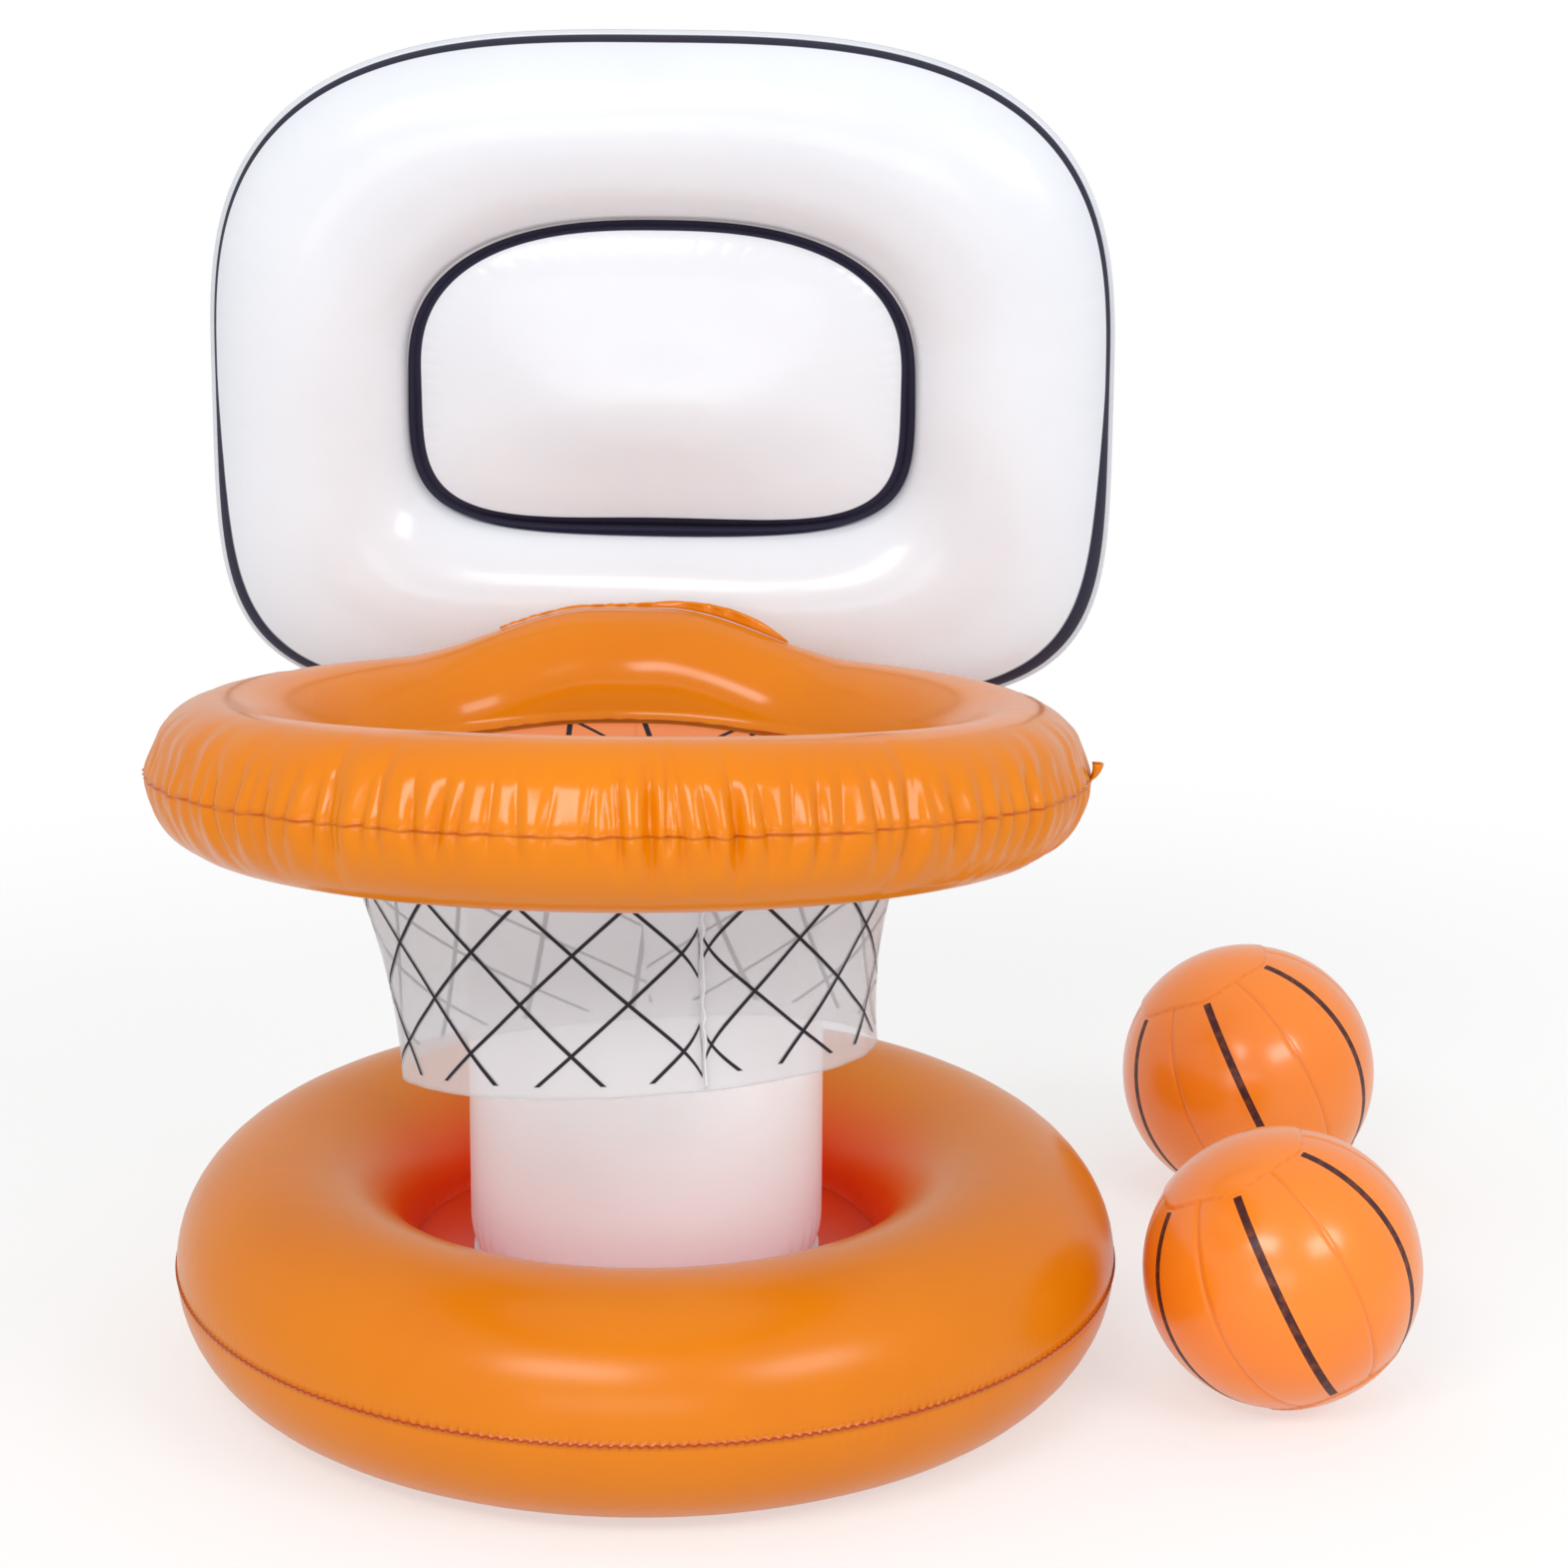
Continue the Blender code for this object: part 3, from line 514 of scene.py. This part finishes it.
def boardPanel(name, side, node, paint):
    theta = np.linspace(0, tau, board["steps"], endpoint=False)[:, None]
    half = board["film"] + board["gap"]
    strip = board["halfWidth"] - board["grooveHalf"]
    stripShare = 1 - board["band"] / strip
    # across the panel: the lip, the tube's half circle and the flat groove beside the pillow;
    # share runs from the outer edge, 0, to the groove's inner edge, 1
    a = np.linspace(0, math.pi, 40)[1:]
    share = np.concatenate([np.zeros(4), stripShare * (1 - np.cos(a)) / 2,
                            stripShare + (1 - stripShare) * np.array([0.5, 1.0])])
    depth = np.concatenate([np.zeros(4), board["tube"] * np.sin(a), np.zeros(2)])
    lipShare = np.concatenate([np.linspace(1, 0, 4), np.zeros(len(a) + 2)])
    edge = board["halfWidth"], board["bottom"], board["top"], board["powers"]
    ex, ez = rounded(theta, *edge)
    lx, lz = rounded(theta, *edge, board["lip"])
    gx, gz = rounded(theta, board["grooveHalf"], board["grooveBottom"], board["grooveTop"],
                     board["groovePowers"])
    x = (ex + (lx - ex) * lipShare) * (1 - share) + gx * share
    z = (ez + (lz - ez) * lipShare) * (1 - share) + gz * share
    depth = depth + 0 * x
    # the pillow inside the groove is fullest a little below its middle
    middle = (board["grooveBottom"] + board["grooveTop"]) / 2
    a = np.linspace(0, math.pi / 2, 26)[1:]
    px, pz = gx * np.cos(a), middle + (gz - middle) * np.cos(a)
    fromFull = (pz - middle) / 0.105 + 0.2
    sag = board["sag"] * np.exp(-(fromFull / 0.4) ** 2 - (px / 0.14) ** 2)
    pd = board["pillow"] * np.sin(a) + sag * np.sin(a) ** 2
    x, z, depth = (np.concatenate(pair, 1) for pair in ((x, px), (z, pz), (depth, pd)))
    fromGroove = np.hypot(x - gx, z - gz)
    # the distance from the outer edge counts as negative on the lip
    fromEdge = np.hypot(x - ex, z - ez)
    fromEdge = fromEdge * np.concatenate([np.where(lipShare > 0, -1.0, 1.0), np.ones(len(a))])
    # short creases beside both welds
    creases = (0.5 + 0.5 * np.sin(board["creases"] * theta + 3 * ripple(theta, 41, (3, 4, 7, 9)))) ** 3
    fall = np.exp(-((fromEdge - 0.010) / 0.010) ** 2)
    fall = fall + 0.7 * np.exp(-((fromGroove - 0.010) / 0.008) ** 2)
    broad = ripple(theta, 42, (3, 4, 6)) * np.sin(math.pi * np.clip(fromEdge / strip, 0, 1))
    depth = depth - board["creaseDepth"] * creases * fall + board["broadDepth"] * broad
    depth = np.maximum(0, depth)
    # the outer line is drawn wider round the two lower corners
    lower = np.clip(-np.sin(theta), 0, 1) * np.abs(np.cos(theta)) * 2
    outline = fromEdge / (board["line"] + board["cornerLine"] * lower ** 1.5)
    # the inner line is drawn a little wider towards its foot
    fromGroove = fromGroove / (1.25 - 0.4 * np.sin(theta))
    y = board["plane"] - side * (half + depth)
    points = np.stack([x + board["shift"], y, z], -1) + axis
    piece = surface(name, points, fields={"outline": outline, "fromGroove": fromGroove,
                                          "weld": np.exp(-(fromGroove / 0.002) ** 2) + (fromEdge < 0)},
                    flip=side < 0)
    return dress(piece, "hoop", "white_film", paint, node)


def boardPaint():
    paint = Paint("boardFilm", Coat_Roughness=0.11, Specular_IOR_Level=0.35,
                  Subsurface_Weight=0.1, Subsurface_Scale=0.02, Subsurface_Radius=(0.6, 0.5, 0.5))
    film = paint.mix(paint.cloud(9.0), (0.775, 0.80, 0.845), (0.75, 0.775, 0.825))
    edge, groove = paint.field("outline"), paint.field("fromGroove")
    outerLine = edge.step(-0.06, 0.06) * (1.0 - edge.step(0.92, 1.08))
    innerLine = 1.0 - groove.step(0.0036, 0.0042)
    lines = outerLine.math("MAXIMUM", innerLine)
    paint.put("Base Color", paint.mix(lines, film, boardInk))
    paint.put("Roughness", lines * 0.4 + 0.3)
    paint.put("Coat Weight", 0.4 - lines * 0.4)
    paint.bump((paint.noise(55.0), 0.0004))
    return paint.material


boardFilm = boardPaint()
boardPanel("board_front_film", 1, "board_front_panel", boardFilm)
boardPanel("board_back_film", -1, "board_back_panel", whiteFilm)
print("backboard made")

net = {"film": 0.0010, "topInset": 0.0023, "length": 0.185, "hemInset": 0.050, "hemPress": 0.016,
       "flare": 2.1, "shift": 0.014, "rise": 0.011, "columnGap": 0.002, "leanBand": 0.046, "steps": 720,
       "rows": 60, "cell": (0.0752, 0.0668), "offset": (0.0, 0.546), "line": (0.022, 0.030),
       "pull": 0.012, "pullWidth": 0.006, "finAngle": math.radians(-71), "seamGap": 0.0003,
       "topRadius": 0.200, "hemRadius": 0.142, "taper": 0.05, "clear": 0.42}


def netWall(u, share, lift=0.0):
    topRadius = hoopCentre - plainTube(u, math.pi) - net["topInset"]
    # the skirt's edge hangs just below the hoop's lower panel
    top = -(board["gap"] + column["film"] + net["seamGap"] + net["film"])
    inward = 1 - (1 - share) ** net["flare"]
    halfWidth = topRadius - net["hemInset"] * inward + lift
    halfDepth = halfWidth - net["hemPress"] * inward
    drop = top - (net["length"] + top) * share + net["rise"] * np.cos(u) * share
    points = onHoop(halfWidth * np.cos(u) + net["shift"] * share, halfDepth * np.sin(u),
                    drop + hoopRise(u) * (1 - share))
    local = points - axis
    x, y, z = local[..., 0], local[..., 1], local[..., 2]
    limit = -np.sqrt(np.maximum(column["radius"] ** 2 - x ** 2, 0)) - net["columnGap"]
    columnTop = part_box("column_top_disc")[1].z
    press = smooth(0, 1, (columnTop + net["leanBand"] - z) / net["leanBand"])
    push = (np.abs(x) < column["radius"]) & (y > limit)
    points[..., 1] += np.where(push, (limit - y) * press, 0)
    return points


def netSkirt():
    u = np.linspace(0, tau, net["steps"], endpoint=False)[:, None]
    share = np.linspace(0, 1, net["rows"])
    # slack film: shallow upright folds that grow towards the hem and are faint at the back
    slack = 0.0022 * ripple(u, 51, (3, 5, 8, 11, 15)) * share ** 1.5
    slack = slack + 0.0008 * ripple(u, 52, (19, 27, 33)) * share
    slack = slack * (1 - 0.8 * np.exp(-(turnFrom(u, behind) / 0.8) ** 2))
    outer = netWall(u, share[None, :], slack)
    inner = netWall(u, share[None, :], slack - net["film"])
    points = np.concatenate([outer, inner[:, ::-1]], 1)
    slant = np.hypot(net["length"], net["taper"])
    around = (u - net["finAngle"]) % tau
    onRight = around < math.pi * 0.9
    radius = net["topRadius"] - net["taper"] * share[None, :]
    # arc length from the fin seam: to its right in one direction, to its left in the other;
    # the film is drawn into the seam, so the lattice bends beside it
    toRight, toLeft = around * radius, (tau - around) * radius
    right = toRight - 0.0015 - net["pull"] * np.exp(-toRight / net["pullWidth"])
    left = 0.0108 - toLeft + net["pull"] * np.exp(-toLeft / net["pullWidth"])
    arcLength = np.where(onRight, right, left)
    down = share[None, :] * slant + 0.0032 * onRight
    uv = np.stack([arcLength + 0 * down, down], -1)
    uv = np.concatenate([uv, uv[:, ::-1]], 1)
    piece = surface("net_skirt_film", points, acrossClosed=True, uv=uv)
    piece.data.flip_normals()
    return piece, slant


def netPaint():
    paint = Paint("netFilm", Coat_Roughness=0.2, Specular_IOR_Level=0.35)
    uv = paint.node("ShaderNodeUVMap", "UV", uv_map="UVMap")
    split = paint.tree.nodes.new("ShaderNodeSeparateXYZ")
    paint.tree.links.new(uv.socket, split.inputs[0])
    around, down = Field(paint.tree, split.outputs[0]), Field(paint.tree, split.outputs[1])
    s, t = around / net["cell"][0] + net["offset"][0], down / net["cell"][1] + net["offset"][1]

    def line(x):
        return 1.0 - abs(x.math("WRAP", 0.5, -0.5)).step(*net["line"])

    lattice = line(s + t).math("MAXIMUM", line(s - t))
    # the lattice stops short of the hem
    lattice = lattice * (1.0 - down.step(0.1835, 0.1842))
    # the net's top edge is welded into the orange film
    flange = (1.0 - down.step(0.012, 0.022)) * 0.95
    film = paint.mix(flange, (0.71, 0.705, 0.73), (0.80, 0.22, 0.05))
    paint.put("Base Color", paint.mix(lattice, film, (0.014, 0.008, 0.016)))
    paint.put("Roughness", lattice * 0.3 + 0.42)
    paint.put("Coat Weight", 0.2 - lattice * 0.2)
    paint.put("Alpha", lattice.math("MAXIMUM", flange).math("MAXIMUM", net["clear"]))
    paint.bump((paint.noise(70.0), 0.0003))
    return paint.material


netFilm = netPaint()
skirt, slant = netSkirt()
dress(skirt, "hoop", "net_film", netFilm, "net_skirt")
print("net skirt made")

clearLook = {**whiteLook, "colour": (0.80, 0.82, 0.84), "deep": (0.76, 0.78, 0.81)}
clearFilm = filmPaint("clearFilm", clearLook)


def bentFilm(name, points, thickness, paint, slot, node):
    # an open sheet given its thickness: out along one face, round the rim and back along the other
    across = np.gradient(points, axis=0)
    along = np.gradient(points, axis=1)
    normal = np.cross(across, along)
    normal /= np.linalg.norm(normal, axis=-1)[..., None]
    outer, inner = points + normal * thickness / 2, points - normal * thickness / 2
    both = np.concatenate([outer, inner[:, ::-1]], 1)
    first, last = (both[:1] + both[:1, ::-1]) / 2, (both[-1:] + both[-1:, ::-1]) / 2
    piece = surface(name, np.concatenate([first, both, last]), roundClosed=False, acrossClosed=True,
                    fields={"weld": 0.0})
    return dress(piece, "hoop", slot, paint, node)


mount = {"half": math.radians(23), "height": 0.007, "end": 0.0012, "skew": 3.5, "wave": 0.018,
         "stand": 0.0006, "film": 0.0012, "steps": 200}


def mountLip():
    share = np.linspace(0, 1, mount["steps"])[:, None]
    u = behind + mount["half"] * (1 - 2 * share)
    across = np.linspace(0, 1, 5)
    # the lip stands highest on its right
    height = mount["end"] + mount["height"] * np.sin(math.pi * share ** mount["skew"])
    v = behind + 0 * u
    reach = plainTube(u, v) + mount["stand"] + height * across
    # the free edge waves a little
    v = v + mount["wave"] * np.sin(70 * u + 2 * np.sin(23 * u)) * across ** 2
    points = onRing(u, hoopCentre + reach * np.cos(v), reach * np.sin(v))
    return bentFilm("mount_lip", points, mount["film"], orangeFilm, "orange_film", "hoop_mount_lip")


tab = {"length": 0.014, "inset": 0.001, "reach": 0.0089, "rise": 0.010, "curl": 0.002, "film": 0.0012,
       "steps": 24}


def tetherTab():
    along = np.linspace(-tab["length"] / 2, tab["length"] / 2, tab["steps"])[:, None]
    out = np.linspace(0, 1, 12)
    rounding = np.sqrt(np.maximum(0, 1 - (np.abs(along) / (tab["length"] / 2)) ** 4))
    length = (tab["inset"] + tab["reach"]) * out * (0.35 + 0.65 * rounding)
    radius = hoop["outer"] - tab["inset"] + length
    points = onRing(np.arcsin(along / radius), radius - tab["curl"] * out ** 4, tab["rise"] * out ** 1.6)
    return bentFilm("tether_tab", points, tab["film"], orangeFilm, "orange_film", "hoop_tether_tab")


strip = {"half": math.radians(15), "film": 0.0012, "gap": 0.00255, "drop": 0.008, "sag": 0.0015,
         "start": 0.0016, "turn": 0.0031, "steps": 90}


def weldStrip():
    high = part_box("board_weld_strip")[1]
    u = np.linspace(behind - strip["half"], behind + strip["half"], strip["steps"])[:, None]
    share = np.linspace(0, 1, 24)
    # from the hoop's rear weld round its lip, then up to the board's foot
    start = onRing(u, hoop["outer"] + strip["start"], strip["gap"])
    turn = onRing(u, hoop["outer"] + strip["turn"], strip["gap"])
    top = np.stack([turn[..., 0], 0 * u + high.y - strip["film"] / 2, 0 * u + high.z - strip["drop"]], -1)
    first = start + (turn - start) * np.linspace(0, 1, 4)[None, :, None]
    sag = strip["sag"] * np.sin(math.pi * share) * (0.5 + 0.5 * np.sin(40 * u))
    second = turn + (top - turn) * share[1:][None, :, None]
    second[..., 2] -= sag[:, 1:]
    last = top + np.array([0, 0, strip["drop"] - 0.0007]) * np.linspace(0, 1, 4)[1:][None, :, None]
    points = np.concatenate([first, second, last], 1)
    return bentFilm("weld_strip", points, strip["film"], whiteFilm, "white_film", "board_weld_strip")


fin = {"width": 0.007, "film": 0.0008, "stand": 0.0006, "top": 0.022, "hem": 0.002, "wave": 0.005,
       "steps": 160}


def finSeam():
    share = np.linspace(fin["top"] / net["length"], 1 - fin["hem"] / net["length"], fin["steps"])[:, None]
    out = np.linspace(0, 1, 6)
    # the welded edge waves and narrows at both ends
    ends = np.minimum(1, np.minimum(share - share[0], share[-1] - share) / 0.03 + 0.35)
    u = net["finAngle"] + fin["wave"] * np.sin(46 * share + 2 * np.sin(17 * share)) * out ** 2
    points = netWall(u, share + 0 * out, fin["stand"] + fin["width"] * out * ends)
    return bentFilm("fin_seam", points, fin["film"], clearFilm, "net_film", "net_fin_seam")


mountLip()
tetherTab()
weldStrip()
finSeam()
print("lips, strip and fin made")

valve = {"bore": 0.0036, "tube": 0.0055, "flange": 0.011, "film": 0.0012, "height": 0.009,
         "capRadius": 0.0065, "capHeight": 0.002, "plugLength": 0.007, "gap": 0.0003, "steps": 64,
         "edge": 0.0004, "middle": 0.00002}


def softened(points, edge):
    # each corner of a profile is cut by a short curve
    p = np.asarray(points, float)
    made = []
    for k, corner in enumerate(p):
        before, after = p[k - 1] - corner, p[(k + 1) % len(p)] - corner
        cut = min(edge, 0.4 * np.linalg.norm(before), 0.4 * np.linalg.norm(after))
        first = corner + before / np.linalg.norm(before) * cut
        last = corner + after / np.linalg.norm(after) * cut
        for t in (0, 0.33, 0.67, 1.0):
            made.append(first * (1 - t) ** 2 + corner * 2 * t * (1 - t) + last * t ** 2)
    return np.array(made)


def turnedAt(name, line, centre, up, paint, body, slot, node, closed):
    # revolves a profile of radius and height about the axis up through the centre
    side = np.cross(up, (0.3, 0.2, 0.9))
    side /= np.linalg.norm(side)
    front = np.cross(up, side)
    u = np.linspace(0, tau, valve["steps"], endpoint=False)[:, None, None]
    r, h = line[None, :, 0, None], line[None, :, 1, None]
    points = centre + r * (np.cos(u) * side + np.sin(u) * front) + h * up
    piece = surface(name, points, acrossClosed=closed, fields={"weld": 0.0})
    return dress(piece, body, slot, paint, node)


def valveSet(name, body, paint, slot):
    neck = corners(name + "_neck")
    stopper = corners(name + "_stopper")
    up = stopper.mean(0) - neck.mean(0)
    up /= np.linalg.norm(up)
    foot = neck.mean(0) + up * ((neck @ up).min() - neck.mean(0) @ up)
    bore, tube, flange, height = (valve[key] for key in ("bore", "tube", "flange", "height"))
    line = softened([(bore, 0), (flange, 0), (flange, valve["film"]), (tube + 0.0008, valve["film"]),
                     (tube, 0.002), (tube, height), (bore, height)], valve["edge"])
    turnedAt(name + "_neck_film", line, foot, up, clearFilm, body, "valve_film", name + "_neck", True)
    # the stopper's plug stands in the bore and its cap, with a shallow dimple, on the neck's rim
    plug, tip = bore - valve["gap"], height - valve["plugLength"]
    seat = height + valve["gap"]
    cap, top = valve["capRadius"], seat + valve["capHeight"]
    line = np.array([(valve["middle"], tip), (plug * 0.8, tip), (plug, tip + 0.0006),
                     (plug, seat - 0.0003), (plug + 0.0003, seat), (cap - 0.0005, seat),
                     (cap, seat + 0.0005), (cap, top - 0.0008), (cap - 0.0008, top), (0.0022, top),
                     (0.0016, top - 0.0005), (valve["middle"], top - 0.0005)])
    turnedAt(name + "_plug", line, foot, up, paint, name + "_stopper", slot, name + "_stopper", False)


ball = {"radius": 0.098, "film": 0.0012, "gores": 6, "capAngle": math.radians(33.3), "stripe": 0.0030,
        "columns": 360, "rows": 200, "tuck": 0.0009, "bulge": 0.0008, "scallop": 0.018}


def ballFilm():
    # basketball film: a dark stripe down the middle of each panel, thin welds between them
    paint = Paint("ballFilm", Coat_Roughness=0.2, IOR=1.5, Specular_IOR_Level=0.3,
                  Subsurface_Weight=0.1, Subsurface_Scale=0.02, Subsurface_Radius=(1.0, 0.4, 0.2))
    film = paint.mix(paint.cloud(8.0), (0.98, 0.25, 0.010), (0.96, 0.225, 0.006))
    weld = paint.field("weld")
    film = paint.mix(weld * 0.4, film, (0.62, 0.12, 0.01))
    # the stripe's ink is a little worn
    ink = 1.0 - paint.field("stripe").step(0.94, 1.06)
    worn = paint.noise(180.0).step(0.25, 0.6) * 0.12 + 0.88
    paint.put("Base Color", paint.mix(ink * worn, film, (0.055, 0.008, 0.010)))
    paint.put("Roughness", weld * 0.12 + ink * 0.2 + 0.34)
    paint.put("Coat Weight", 0.85 - ink * 0.65)
    paint.bump((paint.noise(60.0), 0.0003))
    return paint.material


def ballPiece(name, paint):
    top, bottom = corners(name + "_cap_top").mean(0), corners(name + "_cap_bottom").mean(0)
    centre = (top + bottom) / 2
    up = (top - bottom) / np.linalg.norm(top - bottom)
    first = corners(name + "_gore_1").mean(0) - centre
    first -= up * (first @ up)
    first /= np.linalg.norm(first)
    second = np.cross(up, first)
    # longitude 0 is the middle of the first panel
    longitude = np.linspace(0, tau, ball["columns"], endpoint=False)[:, None]
    polar = np.linspace(0.004, math.pi - 0.004, ball["rows"])
    width = math.pi / ball["gores"]
    fromMiddle = np.abs((longitude + width) % (2 * width) - width)
    fromSeam = (width - fromMiddle) * np.sin(polar) * ball["radius"]
    fromPole = np.minimum(polar, math.pi - polar)
    capEdge = ball["capAngle"] + ball["scallop"] * np.cos(ball["gores"] * longitude)
    onCap = smooth(0.0, 0.012, capEdge - fromPole)
    fromCap = np.abs(fromPole - capEdge) * ball["radius"]
    # each panel bulges between its welds, and the caps lie on top of the panels
    bulge = ball["bulge"] * (np.cos(fromMiddle / width * math.pi / 2) - 0.6) * np.sin(polar)
    tuck = ball["tuck"] * np.exp(-(fromSeam / 0.0016) ** 2)
    radius = ball["radius"] - ball["film"] * (1 - onCap) + (1 - onCap) * (bulge - tuck)
    radius = np.minimum(radius, ball["radius"])
    ring, height = (radius * np.sin(polar))[..., None], (radius * np.cos(polar))[..., None]
    outward = np.cos(longitude)[..., None] * first + np.sin(longitude)[..., None] * second
    points = centre + ring * outward + height * up
    weld = np.maximum(np.exp(-(fromSeam / 0.0008) ** 2) * (1 - onCap), np.exp(-(fromCap / 0.0007) ** 2))
    stripe = fromMiddle * np.sin(polar) * ball["radius"] / ball["stripe"]
    stripe = np.where(fromPole < capEdge + 0.03, 5.0, stripe)
    piece = surface(name + "_film", points, fields={"weld": weld, "stripe": stripe}, flip=True)
    gores = ["%s_gore_%d" % (name, k + 1) for k in range(ball["gores"])]
    return dress(piece, name, "ball_film", paint, name + "_cap_top", name + "_cap_bottom", *gores)


ballPaint = ballFilm()
for name in ("ball_near", "ball_far"):
    ballPiece(name, ballPaint)
    valveSet(name + "_valve", name, ballPaint, "ball_film")
for name in ("base_valve", "hoop_valve"):
    valveSet(name, "hoop", orangeFilm, "orange_film")
for name in ("column_valve", "board_valve"):
    valveSet(name, "hoop", whiteFilm, "white_film")
print("balls and valves made")

photo = {"pixels": 1569, "focal": 4581.0, "sensor": 36.0, "position": (0.1967, -3.0, 1.3358),
         "pitch": 0.2949, "pan": -0.0338, "roll": 0.006}


def placeCamera():
    camera = bpy.data.objects.new("camera", bpy.data.cameras.new("camera"))
    bpy.context.scene.collection.objects.link(camera)
    camera.data.sensor_width = photo["sensor"]
    camera.data.lens = photo["sensor"] * photo["focal"] / photo["pixels"]
    camera.data.clip_end = 50
    camera.location = Vector(photo["position"]) + Vector(axis)
    ahead = Vector((math.sin(photo["pan"]) * math.cos(photo["pitch"]),
                    math.cos(photo["pan"]) * math.cos(photo["pitch"]), -math.sin(photo["pitch"])))
    camera.rotation_mode = "QUATERNION"
    camera.rotation_quaternion = ahead.to_track_quat("-Z", "Y") @ Quaternion((0, 0, 1), photo["roll"])
    bpy.context.scene.camera = camera


def lamp(name, position, target, size, power):
    light = bpy.data.lights.new(name, "AREA")
    light.shape = "RECTANGLE"
    light.size, light.size_y, light.energy = *size, power
    holder = bpy.data.objects.new(name, light)
    holder.location = Vector(position)
    holder.rotation_mode = "QUATERNION"
    holder.rotation_quaternion = (Vector(target) - Vector(position)).to_track_quat("-Z", "Y")
    bpy.context.scene.collection.objects.link(holder)


placeCamera()
lamp("key", (-0.89, -2.55, 2.50), (0, 0, 0.40), (1.6, 0.75), 34)
lamp("side", (1.97, -2.07, 2.20), (0, 0, 0.35), (1.4, 0.8), 24)
lamp("low", (-0.30, -3.40, 0.95), (0, 0, 0.30), (2.2, 0.9), 11)
# level surroundings, which the camera itself sees as pure white
world = bpy.data.worlds.new("studio")
bpy.context.scene.world = world
world.use_nodes = True
tree = world.node_tree
background = tree.nodes["Background"]
paths = tree.nodes.new("ShaderNodeLightPath")
shade = tree.nodes.new("ShaderNodeMix")
shade.data_type = "FLOAT"
shade.inputs[2].default_value = 0.74
shade.inputs[3].default_value = 1.0
tree.links.new(paths.outputs["Is Camera Ray"], shade.inputs[0])
tree.links.new(shade.outputs[0], background.inputs["Strength"])
background.inputs["Color"].default_value = (1, 1, 1, 1)
scene = bpy.context.scene
scene.view_settings.view_transform = "Standard"

# a round floor that fades out into the white background
ground = {"radius": 1.6, "fadeFrom": 0.85, "steps": 96, "drop": 0.0003, "density": 0.45}
floorMesh = bpy.data.meshes.new("floor")
turns = [tau * k / ground["steps"] for k in range(ground["steps"])]
rim = [(ground["radius"] * math.cos(t), ground["radius"] * math.sin(t), -ground["drop"]) for t in turns]
floorMesh.from_pydata(rim, [], [tuple(range(ground["steps"]))])
floor = bpy.data.objects.new("floor", floorMesh)
scene.collection.objects.link(floor)
floorPaint = Paint("floorPaint", Base_Color=(0.985, 0.985, 0.985), Roughness=0.95, Specular_IOR_Level=0.0)
distance = floorPaint.node("ShaderNodeVectorMath", "Value", {0: floorPaint.place()}, operation="LENGTH")
floorPaint.put("Alpha", (1.0 - distance.step(ground["fadeFrom"], ground["radius"])) * ground["density"])
floorMesh.materials.append(floorPaint.material)
